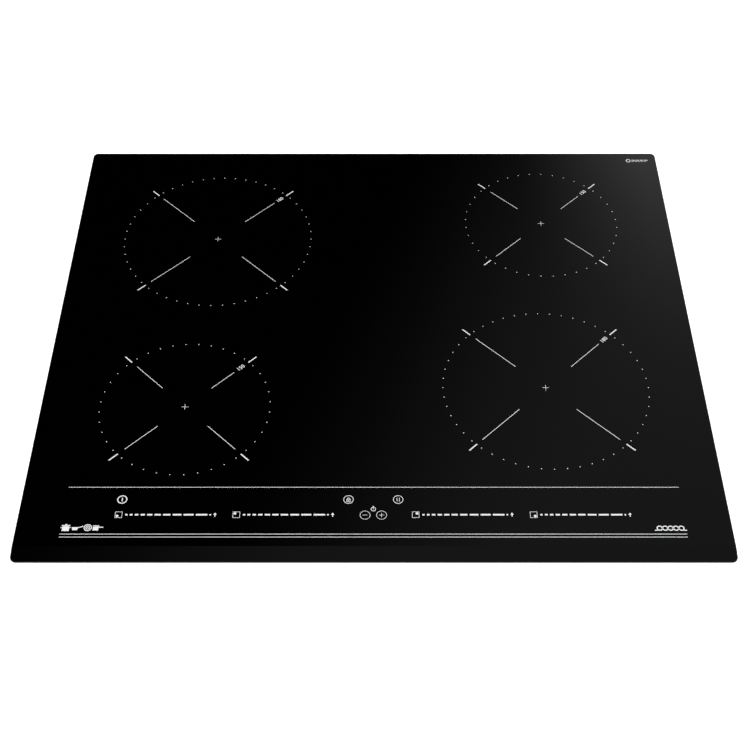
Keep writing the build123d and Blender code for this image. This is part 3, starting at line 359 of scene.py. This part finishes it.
def ribbon(slot):
    """Grey ribbon cable: one ridge for each conductor."""
    s = Shader(slot)
    colour = BASE_COLOURS[slot]
    across = s.add("SeparateXYZ", Vector=s.place).outputs["X"]
    wave = s.maths("SINE", s.maths("MULTIPLY", across, 2 * math.pi / CONDUCTOR_PITCH))
    ridge = s.ramp(wave, 0.0, 1.0, -1.0, 1.0)
    s.set(
        Base_Color=s.mix(ridge, shade(colour, 0.7), shade(colour, 1.1)),
        Roughness=s.ramp(s.noise(300.0), 0.40, 0.55),
        Normal=s.bump(ridge, 0.3 * MM),
    )
    return s.material


MATERIALS = {
    "black_glass_ceramic": glass_ceramic("black_glass_ceramic"),
    "white_enamel_print": enamel_print("white_enamel_print"),
    "foam_tape": foam("foam_tape"),
    "silicone": plain("silicone", 0.45, vary=0.2, grain=700.0, depth=0.05 * MM),
    "galvanised_sheet": galvanised("galvanised_sheet"),
    "rail_steel": galvanised("rail_steel"),
    "zinc_fastener": brushed("zinc_fastener", 0.24, along="Z"),
    "clamp_steel": brushed("clamp_steel", 0.32, along="Y", vary=0.16),
    "copper_litz": litz("copper_litz"),
    "former_plastic": plain("former_plastic", 0.52, grain=1800.0),
    "ferrite": plain("ferrite", 0.66, vary=0.2, patch=180.0, grain=1500.0, depth=0.05 * MM),
    "mica": plain("mica", 0.40, vary=0.25, patch=300.0, grain=900.0, depth=0.03 * MM),
    "sensor_ceramic": plain("sensor_ceramic", 0.35, vary=0.06),
    "silicone_wire": plain("silicone_wire", 0.42, vary=0.08, patch=200.0),
    "plate_aluminium": brushed("plate_aluminium", 0.34, along="Y"),
    "spring_steel": brushed("spring_steel", 0.26, along="X"),
    "natural_nylon": plain("natural_nylon", 0.44, vary=0.08),
    "fan_plastic": plain("fan_plastic", 0.50, vary=0.15, grain=1600.0, depth=0.03 * MM),
    "motor_metal": plain("motor_metal", 0.48, metallic=0.4, vary=0.2),
    "shaft_steel": brushed("shaft_steel", 0.18, along="Z"),
    "circuit_board": circuit_board("circuit_board"),
    "heatsink_aluminium": brushed("heatsink_aluminium", 0.36, along="Y"),
    "chip_black": plain("chip_black", 0.60, vary=0.15, patch=250.0),
    "capacitor_yellow": plain("capacitor_yellow", 0.34, vary=0.08),
    "capacitor_sleeve": plain("capacitor_sleeve", 0.30, vary=0.1),
    "relay_body": plain("relay_body", 0.40, vary=0.1),
    "terminal_plastic": plain("terminal_plastic", 0.46, vary=0.15, grain=1500.0, depth=0.03 * MM),
    "block_plastic": plain("block_plastic", 0.44, vary=0.06, grain=1500.0),
    "terminal_brass": brushed("terminal_brass", 0.28, along="Z"),
    "fuse_glass": fuse_glass("fuse_glass"),
    "choke_copper": plain("choke_copper", 0.30, metallic=0.9, vary=0.15, patch=400.0),
    "wire_brown": plain("wire_brown", 0.40, vary=0.1, patch=200.0),
    "wire_green": plain("wire_green", 0.40, vary=0.2, patch=200.0),
    "sensor_foam": foam("sensor_foam"),
    "display_face": plain("display_face", 0.16, vary=0.1, grain=400.0, depth=0.005 * MM),
    "ribbon_grey": ribbon("ribbon_grey"),
}


def dress_cad_nodes():
    """Every carried-over CAD node takes the material of its slot."""
    for subpart in record["subparts"]:
        mesh = nodes[subpart["node"]].data
        mesh.materials.clear()
        mesh.materials.append(MATERIALS[subpart["material_slot"]])


# ---------------------------------------------------------------- print on the glass

PRINT_LOW = GLASS_TOP - 0.010 * MM
PRINT_HIGH = GLASS_TOP + 0.025 * MM
CAPITAL_SHARE = 0.70            # height of a capital letter over the font's size


class Print:
    """Flat closed shapes of ink on the glass, gathered into one piece. Lengths are in millimetres."""

    def __init__(self, name):
        self.name = name
        self.bm = bmesh.new()

    def polygon(self, points):
        """A filled outline, anticlockwise."""
        low = [self.bm.verts.new((x * MM, y * MM, PRINT_LOW)) for x, y in points]
        high = [self.bm.verts.new((x * MM, y * MM, PRINT_HIGH)) for x, y in points]
        self.bm.faces.new(high)
        self.bm.faces.new(low[::-1])
        count = len(points)
        for k in range(count):
            after = (k + 1) % count
            self.bm.faces.new((low[k], low[after], high[after], high[k]))

    def rect(self, x0, x1, y0, y1):
        """An upright rectangle."""
        self.polygon([(x0, y0), (x1, y0), (x1, y1), (x0, y1)])

    def bar(self, start, end, width):
        """A straight stroke between two points."""
        a, b = Vector(start), Vector(end)
        side = Vector((a.y - b.y, b.x - a.x)).normalized() * width / 2
        self.polygon([tuple(a - side), tuple(b - side), tuple(b + side), tuple(a + side)])

    def dot(self, x, y, radius, count=16):
        """A filled circle."""
        self.polygon([polar(x, y, radius, 360 * k / count) for k in range(count)])

    def ring(self, x, y, radius, width, start=0.0, stop=360.0, count=64):
        """A circle or an arc drawn with a stroke."""
        closed = stop - start >= 360
        steps = count if closed else max(8, int(count * (stop - start) / 360))
        rows = []
        for k in range(steps if closed else steps + 1):
            angle = start + (stop - start) * k / steps
            row = []
            for r, z in ((radius - width / 2, PRINT_LOW), (radius + width / 2, PRINT_LOW),
                         (radius + width / 2, PRINT_HIGH), (radius - width / 2, PRINT_HIGH)):
                px, py = polar(x, y, r, angle)
                row.append(self.bm.verts.new((px * MM, py * MM, z)))
            rows.append(row)
        pairs = list(zip(rows, rows[1:])) + ([(rows[-1], rows[0])] if closed else [])
        for a, b in pairs:
            for i in range(4):
                j = (i + 1) % 4
                self.bm.faces.new((a[i], b[i], b[j], a[j]))
        if not closed:
            self.bm.faces.new(rows[0])
            self.bm.faces.new(rows[-1][::-1])

    def frame(self, x0, x1, y0, y1, width):
        """A rectangle drawn with a stroke, as four butted bars."""
        self.rect(x0, x1, y0, y0 + width)
        self.rect(x0, x1, y1 - width, y1)
        self.rect(x0, x0 + width, y0 + width, y1 - width)
        self.rect(x1 - width, x1, y0 + width, y1 - width)

    def text(self, body, x, y, height, angle, weight):
        """A number, centred on a point and turned by an angle in degrees."""
        curve = bpy.data.curves.new(self.name + "_text", "FONT")
        curve.body = body
        curve.align_x = "CENTER"
        curve.align_y = "CENTER"
        curve.size = height * MM / CAPITAL_SHARE
        curve.offset = weight * MM
        curve.resolution_u = 4
        curve.extrude = (PRINT_HIGH - PRINT_LOW) / 2
        temporary = bpy.data.objects.new(self.name + "_text", curve)
        mesh = bpy.data.meshes.new_from_object(temporary)
        place = Matrix.Translation((x * MM, y * MM, (PRINT_LOW + PRINT_HIGH) / 2))
        mesh.transform(place @ Matrix.Rotation(math.radians(angle), 4, "Z"))
        self.bm.from_mesh(mesh)
        bpy.data.objects.remove(temporary)
        bpy.data.meshes.remove(mesh)

    def finish(self):
        """Makes the piece, and fixes it to the glass."""
        bmesh.ops.recalc_face_normals(self.bm, faces=self.bm.faces)
        mesh = bpy.data.meshes.new(self.name)
        self.bm.to_mesh(mesh)
        self.bm.free()
        mesh.materials.append(MATERIALS["white_enamel_print"])
        piece = bpy.data.objects.new(self.name, mesh)
        bpy.context.scene.collection.objects.link(piece)
        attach(piece, ROOT)


def polar(x, y, radius, angle):
    """The point at a distance and an angle in degrees from a centre."""
    return x + radius * math.cos(math.radians(angle)), y + radius * math.sin(math.radians(angle))


# The two sizes of zone. All radii are in millimetres, from the middle of the zone.
LARGE = {"ring": 93.6, "dots": 52, "turn": 0.0, "line": (36.4, 86.0), "short": 76.5, "number": "180"}
SMALL = {"ring": 76.7, "dots": 40, "turn": 4.5, "line": (31.6, 68.4), "short": 58.8, "number": "150"}
ZONES = {"rear_left": LARGE, "front_left": SMALL, "rear_right": SMALL, "front_right": LARGE}
DOT_R = 0.46
LINE_W = 0.52
TICK_W = 1.15
CROSS_W = 0.38
CROSS_ARM = 3.1
TICK_L = 10.0
TICK_INSET = 0.6                # from the dotted circle in to the start of a tick
NUMBER_H = 3.9
NUMBER_INSET = 0.9              # from the middle of its gap in to the number
NUMBER_WEIGHT = 0.05
DOT_SIDES = 12


def zone_print(zone):
    """A dotted circle, four diagonals with ticks, a number and a centre cross."""
    size = ZONES[zone]
    low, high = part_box("coil_winding_" + zone)
    x = (low.x + high.x) / 2 / MM
    y = (low.y + high.y) / 2 / MM
    ink = Print("print_zone_" + zone)
    for k in range(size["dots"]):
        ink.dot(*polar(x, y, size["ring"], size["turn"] + 360 * k / size["dots"]), DOT_R, DOT_SIDES)
    start, stop = size["line"]
    for angle in (45, 135, 225, 315):
        end = size["short"] if angle == 45 else stop
        ink.bar(polar(x, y, start, angle), polar(x, y, end, angle), LINE_W)
        tick = size["ring"] - TICK_INSET
        ink.bar(polar(x, y, tick, angle), polar(x, y, tick + TICK_L, angle), TICK_W)
    number_r = (size["short"] + size["ring"]) / 2 - NUMBER_INSET
    ink.text(size["number"], *polar(x, y, number_r, 45), NUMBER_H, angle=45, weight=NUMBER_WEIGHT)
    half_w = CROSS_W / 2
    ink.rect(x - CROSS_ARM, x + CROSS_ARM, y - half_w, y + half_w)
    ink.rect(x - half_w, x + half_w, y + half_w, y + CROSS_ARM)
    ink.rect(x - half_w, x + half_w, y - CROSS_ARM, y - half_w)
    ink.finish()


# Rows of the control strip, measured back from the front edge of the glass, in millimetres
STRIP_LINE_Y = FRONT_MM + 74.8
STRIP_LINE_W = 0.46
LOW_LINE_YS = (FRONT_MM + 26.25, FRONT_MM + 23.25)
LOW_LINE_W = 0.5
STRIP_LINE_ENDS = (-261.5, 261.2)
LOW_LINE_ENDS = (-262.2, 261.2)
KEY_Y = FRONT_MM + 61.8
SLIDER_Y = FRONT_MM + 46.0
SIGN_Y = SLIDER_Y - 0.4
TIMER_Y = FRONT_MM + 51.8
POWER_X, LOCK_X, PAUSE_X, LESS_X, MORE_X, TIMER_X = -214.0, -21.6, 20.6, -7.45, 6.45, -0.5
POWER_RING_R = 3.85
KEY_RING_R = 4.1
SIGN_RING_R = 4.25
BOLD_W = 0.9
THIN_W = 0.5
FINE_W = 0.4
HAIR_W = 0.38


def strip_lines():
    """The long line above the controls and the double line below them."""
    ink = Print("print_strip_lines")
    ink.rect(*STRIP_LINE_ENDS, STRIP_LINE_Y - STRIP_LINE_W / 2, STRIP_LINE_Y + STRIP_LINE_W / 2)
    for y in LOW_LINE_YS:
        ink.rect(*LOW_LINE_ENDS, y - LOW_LINE_W / 2, y + LOW_LINE_W / 2)
    ink.finish()


def keys():
    """Ringed signs: on and off, lock, pause, less, more, and a small timer sign."""
    ink = Print("print_keys")
    # on and off: a bold ring with an upright bar
    ink.ring(POWER_X, KEY_Y, POWER_RING_R, BOLD_W)
    ink.bar((POWER_X, KEY_Y - 1.8), (POWER_X, KEY_Y + 1.8), BOLD_W)
    for x in (LOCK_X, PAUSE_X):
        ink.ring(x, KEY_Y, KEY_RING_R, THIN_W)
    # padlock: hollow body with a keyhole, and a shackle
    ink.frame(LOCK_X - 1.75, LOCK_X + 1.75, KEY_Y - 2.5, KEY_Y + 0.4, THIN_W)
    ink.dot(LOCK_X, KEY_Y - 1.05, 0.5)
    ink.ring(LOCK_X, KEY_Y + 0.55, 1.15, THIN_W, 0, 180, 32)
    for side in (-1, 1):
        ink.bar((PAUSE_X + side, KEY_Y - 1.9), (PAUSE_X + side, KEY_Y + 1.9), THIN_W)
    half_w = FINE_W / 2
    for x in (LESS_X, MORE_X):
        ink.ring(x, SIGN_Y, SIGN_RING_R, HAIR_W)
        ink.rect(x - 2.1, x + 2.1, SIGN_Y - half_w, SIGN_Y + half_w)
    ink.rect(MORE_X - half_w, MORE_X + half_w, SIGN_Y + half_w, SIGN_Y + 2.1)
    ink.rect(MORE_X - half_w, MORE_X + half_w, SIGN_Y - 2.1, SIGN_Y - half_w)
    # timer: a small dial with a hand and a stem
    ink.ring(TIMER_X, TIMER_Y, 1.9, THIN_W, count=40)
    ink.bar((TIMER_X, TIMER_Y), (TIMER_X, TIMER_Y + 1.5), THIN_W)
    ink.bar((TIMER_X, TIMER_Y + 2.3), (TIMER_X, TIMER_Y + 3.1), BOLD_W)
    ink.finish()


# Each slider starts with a square that shows its zone: the square's x and the side where its dot is
SLIDERS = ((-215.2, -1, -1), (-116.0, -1, 1), (35.2, 1, 1), (134.7, 1, -1))
SQUARE_HALF = (3.05, 3.2)       # half the square's width and depth
SQUARE_DOT = (1.15, 1.3)        # from the square's middle to its dot
SQUARE_DOT_R = 1.2
STEPS = 10
FIRST_STEP_X = 5.6              # from the square's middle to the first dash
STEP_HALF_W = 0.8
STEP_GAP = 1.9
END_DOT_X = 77.2
ARROW_X = 81.2                  # from the square's middle to the arrow
ARROW_HALF_H = 2.1
ARROW_SHAFT_W = 0.8
HEAD_HALF_W = 1.45
HEAD_H = 2.1


def full_power_arrow(ink, x, y):
    """An arrow that points to the rear: full power."""
    top = y + ARROW_HALF_H
    neck = top - HEAD_H
    ink.bar((x, y - ARROW_HALF_H), (x, neck), ARROW_SHAFT_W)
    ink.polygon([(x - HEAD_HALF_W, neck), (x + HEAD_HALF_W, neck), (x, top)])


def sliders():
    """Four power sliders: a zone square, ten growing dashes, a dot and an arrow."""
    ink = Print("print_sliders")
    for x, dot_x, dot_y in SLIDERS:
        half_x, half_y = SQUARE_HALF
        ink.frame(x - half_x, x + half_x, SLIDER_Y - half_y, SLIDER_Y + half_y, HAIR_W)
        ink.dot(x + dot_x * SQUARE_DOT[0], SLIDER_Y + dot_y * SQUARE_DOT[1], SQUARE_DOT_R)
        place = x + FIRST_STEP_X
        for k in range(STEPS):
            length = 1.9 + 0.42 * k + 0.05 * k * k
            ink.rect(place, place + length, SLIDER_Y - STEP_HALF_W, SLIDER_Y + STEP_HALF_W)
            place += length + STEP_GAP
        ink.dot(x + END_DOT_X, SLIDER_Y, STEP_HALF_W)
        full_power_arrow(ink, x + ARROW_X, SLIDER_Y)
    ink.finish()


COOKWARE_X = -262.0
COOKWARE_Y = FRONT_MM + 29.3


def cookware_row():
    """A row of plain cookware signs at the left end of the strip."""
    ink = Print("print_cookware")
    base = COOKWARE_Y
    x = COOKWARE_X
    # stock pot with lid, knob and two handles
    ink.rect(x + 1.2, x + 7.2, base, base + 4.9)
    ink.rect(x + 0.6, x + 7.8, base + 5.3, base + 6.1)
    ink.rect(x + 3.3, x + 5.1, base + 6.1, base + 7.0)
    for side_x in (x, x + 7.5):
        ink.rect(side_x, side_x + 0.9, base + 3.0, base + 4.1)
    # frying pan
    x += 9.2
    pan = [(0.7, 0.9), (4.7, 0.9), (5.6, 3.9), (0, 3.9)]
    handle = [(5.3, 2.9), (9.6, 4.4), (9.3, 5.4), (5.6, 3.9)]
    for outline in (pan, handle):
        ink.polygon([(x + across, base + up) for across, up in outline])
    # coil
    x += 13.4
    ink.ring(x, base + 3.5, 3.05, 0.8)
    ink.ring(x, base + 3.5, 1.55, 0.75, count=40)
    ink.dot(x, base + 3.5, 0.5)
    # saucepan
    x += 4.3
    ink.rect(x, x + 4.7, base + 0.6, base + 4.6)
    ink.rect(x - 0.3, x + 5.0, base + 5.0, base + 5.7)
    ink.rect(x + 4.7, x + 8.6, base + 3.4, base + 4.4)
    ink.finish()


LOOPS = 5
LOOP_R = 2.1
LOOP_PITCH = 4.55
LOOP_W = 0.95
COIL_X = 236.9                  # where the first loop starts
COIL_Y = FRONT_MM + 32.2
LEAD_OVERLAP = 1.6
LEAD_OUT = 2.2


def coil_sign():
    """A plain coil sign at the right end of the strip: a row of loops between two leads."""
    ink = Print("print_coil_sign")
    first = COIL_X + LOOP_R
    last = first + LOOP_PITCH * (LOOPS - 1)
    for k in range(LOOPS):
        ink.ring(first + LOOP_PITCH * k, COIL_Y, LOOP_R, LOOP_W, count=40)
    low = COIL_Y - LOOP_R - LOOP_W / 2
    high = COIL_Y - LOOP_R + LOOP_W / 2
    ink.rect(COIL_X - LEAD_OUT, first - LEAD_OVERLAP, low, high)
    ink.rect(last + LEAD_OVERLAP, last + LOOP_R + LEAD_OUT, low, high)
    ink.finish()


CORNER_X = RIGHT_MM - 29.4
CORNER_Y = REAR_MM - 12.2


def corner_mark():
    """A tiny ring and dashes in the rear right corner of the glass."""
    ink = Print("print_corner_mark")
    ink.ring(CORNER_X, CORNER_Y, 2.1, BOLD_W, count=32)
    dashes_x = CORNER_X + 3.6
    # an upper row of dashes and a lower, finer one: count, pitch, length, low edge and high edge
    for count, pitch, length, low, high in ((4, 4.5, 3.8, 0.3, 1.3), (5, 3.2, 2.4, -1.6, -1.0)):
        for k in range(count):
            start = dashes_x + pitch * k
            ink.rect(start, start + length, CORNER_Y + low, CORNER_Y + high)
    ink.finish()


# ---------------------------------------------------------------- litz turns of the coils

LITZ_D = 3.0 * MM
WINDING_INNER = 22.6 * MM       # radius at the middle of the first turn
WINDING_PITCH = 3.15 * MM
SPIRAL_STEPS = 72               # steps in each turn
SPIRAL_SIDES = 8
UV_PER_DIAMETER = 0.25


def winding(zone):
    """One flat spiral of litz bundle in place of the CAD ring."""
    low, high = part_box("coil_winding_" + zone)
    centre = (low + high) / 2
    outer = (high.x - low.x) / 2 - LITZ_D / 2
    turns = (outer - WINDING_INNER) / WINDING_PITCH
    steps = int(turns * SPIRAL_STEPS)
    bm = bmesh.new()
    uv_layer = bm.loops.layers.uv.new("UVMap")
    rings = []
    lengths = []
    length = 0.0
    for k in range(steps + 1):
        turn = turns * k / steps
        radius = WINDING_INNER + WINDING_PITCH * turn
        angle = 2 * math.pi * turn
        out = Vector((math.cos(angle), math.sin(angle), 0))
        middle = centre + out * radius
        ring = []
        for j in range(SPIRAL_SIDES):
            around = 2 * math.pi * j / SPIRAL_SIDES
            offset = out * math.cos(around) + Vector((0, 0, math.sin(around)))
            ring.append(bm.verts.new(middle + offset * LITZ_D / 2))
        rings.append(ring)
        lengths.append(length)
        length += radius * 2 * math.pi * turns / steps
    for k in range(steps):
        for j in range(SPIRAL_SIDES):
            after = (j + 1) % SPIRAL_SIDES
            face = bm.faces.new((rings[k][j], rings[k][after], rings[k + 1][after], rings[k + 1][j]))
            face.smooth = True
            for loop, (step, side) in zip(face.loops, ((k, j), (k, j + 1), (k + 1, j + 1), (k + 1, j))):
                loop[uv_layer].uv = (lengths[step] / LITZ_D * UV_PER_DIAMETER, side / SPIRAL_SIDES)
    bm.faces.new(rings[0])
    bm.faces.new(rings[-1][::-1])
    bmesh.ops.recalc_face_normals(bm, faces=bm.faces)
    mesh = bpy.data.meshes.new("litz_turns_" + zone)
    bm.to_mesh(mesh)
    bm.free()
    mesh.materials.append(MATERIALS["copper_litz"])
    piece = bpy.data.objects.new("litz_turns_" + zone, mesh)
    bpy.context.scene.collection.objects.link(piece)
    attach(piece, ROOT)
    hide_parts("coil_winding_" + zone)


# ---------------------------------------------------------------- studio

CAMERA_RIGHT = 0.0009
CAMERA_BACK = 0.8923
CAMERA_UP = 0.9453
CAMERA_DOWN_DEG = 48.53
CAMERA_LENS = 65.92
SENSOR_W = 36.0
CLIP_END = 60.0

# How much of its own light the floor gives off by the hob and further away, and where that changes
FLOOR_GLOW = 0.85
FAR_GLOW = 1.1
GLOW_NEAR = 0.5
GLOW_FAR = 2.0
FLOOR_HALF = 25.0
# The floor lies this far below the tray, so that the two faces don't coincide
FLOOR_GAP = 0.2 * MM

# Edges of the bright half of the ceiling, as distances on a ceiling one metre up, and its brightness
EDGE_SLANT = 0.37
EDGE_START = -0.418
EDGE_STOP = -0.078
HALF_GLOW = 0.19
CORNER_GLOW = 0.45
# The pale horizon: its brightness, and the heights in degrees where it starts to fade and is gone
HORIZON = 0.42
HORIZON_FADE = (10, 33)
# What the camera sees as the background
BACKDROP = 1.05


def camera():
    """The camera in front of and above the hob, on its centre line."""
    data = bpy.data.cameras.new("camera")
    data.lens = CAMERA_LENS
    data.sensor_width = SENSOR_W
    data.clip_end = CLIP_END
    eye = bpy.data.objects.new("camera", data)
    eye.location = (CAMERA_RIGHT, -CAMERA_BACK, GLASS_TOP + CAMERA_UP)
    eye.rotation_euler = (math.radians(90 - CAMERA_DOWN_DEG), 0, 0)
    bpy.context.scene.collection.objects.link(eye)
    bpy.context.scene.camera = eye


def floor():
    """A wide white floor that glows a little, so that it stays white up to the hob."""
    bm = bmesh.new()
    z = cad_low.z - FLOOR_GAP
    corners = ((-1, -1), (1, -1), (1, 1), (-1, 1))
    bm.faces.new([bm.verts.new((x * FLOOR_HALF, y * FLOOR_HALF, z)) for x, y in corners])
    mesh = bpy.data.meshes.new("floor")
    bm.to_mesh(mesh)
    bm.free()
    s = Shader("floor")
    distance = s.add("VectorMath", {"operation": "LENGTH"}, i0=s.place).outputs["Value"]
    s.set(
        Base_Color=(0.9, 0.9, 0.9, 1.0),
        Roughness=0.9,
        Emission_Color=WHITE,
        Emission_Strength=s.ramp(distance, FLOOR_GLOW, FAR_GLOW, GLOW_NEAR, GLOW_FAR),
    )
    mesh.materials.append(s.material)
    ground = bpy.data.objects.new("floor", mesh)
    bpy.context.scene.collection.objects.link(ground)


def area_light(name, place, size, power):
    """A soft square lamp that faces the origin."""
    data = bpy.data.lights.new(name, "AREA")
    data.shape = "SQUARE"
    data.size = size
    data.energy = power
    lamp = bpy.data.objects.new(name, data)
    lamp.location = place
    lamp.rotation_euler = (-Vector(place)).to_track_quat("-Z", "Y").to_euler()
    bpy.context.scene.collection.objects.link(lamp)


def world():
    """White studio: pale horizon, dark ceiling to the left, wide soft glow to the right and rear."""
    sky = bpy.data.worlds.new("studio")
    bpy.context.scene.world = sky
    sky.use_nodes = True
    s = NodeTree(sky.node_tree)
    way = s.add("SeparateXYZ", Vector=s.add("TexCoord").outputs["Generated"])
    up = s.maths("MAXIMUM", way.outputs["Z"], 0.02)
    # where each direction meets a ceiling one metre up
    ceiling_x = s.maths("DIVIDE", way.outputs["X"], up)
    ceiling_y = s.maths("DIVIDE", way.outputs["Y"], up)
    # a soft-edged bright half: its edge runs slantwise from the front left to the rear right
    edge = s.maths("SUBTRACT", ceiling_x, s.maths("MULTIPLY", ceiling_y, EDGE_SLANT))
    half = s.ramp(edge, 0.0, HALF_GLOW, EDGE_START, EDGE_STOP, "SMOOTHSTEP")
    # a brighter patch low in the rear right
    right = s.ramp(ceiling_x, 0.0, 1.0, 0.16, 0.30)
    rear = s.ramp(ceiling_y, 0.0, 1.0, 0.71, 1.22)
    corner = s.maths("MULTIPLY", s.maths("POWER", right, 1.5), s.maths("POWER", rear, 2.3))
    glow = s.maths("ADD", half, s.maths("MULTIPLY", corner, CORNER_GLOW))
    # the pale horizon
    fade = [math.sin(math.radians(height)) for height in HORIZON_FADE]
    low = s.ramp(way.outputs["Z"], 1.0, 0.0, *fade, "SMOOTHSTEP")
    light = s.maths("MAXIMUM", glow, s.maths("MULTIPLY", low, HORIZON))
    seen = s.add("LightPath").outputs["Is Camera Ray"]
    shown = s.add("Mix", {"data_type": "FLOAT"}, i0=seen, i2=light, i3=BACKDROP)
    background = s.add("Background", Color=WHITE, Strength=shown.outputs[0])
    output = s.add("OutputWorld")
    s.put(background.outputs[0], output.inputs["Surface"])


dress_cad_nodes()
for zone_name in ZONES:
    zone_print(zone_name)
    winding(zone_name)
strip_lines()
keys()
sliders()
cookware_row()
coil_sign()
corner_mark()

camera()
floor()
world()
area_light("key", place=(-0.5, -1.6, 2.2), size=1.6, power=66.0)
area_light("fill_right", place=(2.2, -0.6, 1.2), size=1.2, power=26.0)
bpy.context.scene.view_settings.view_transform = "Standard"
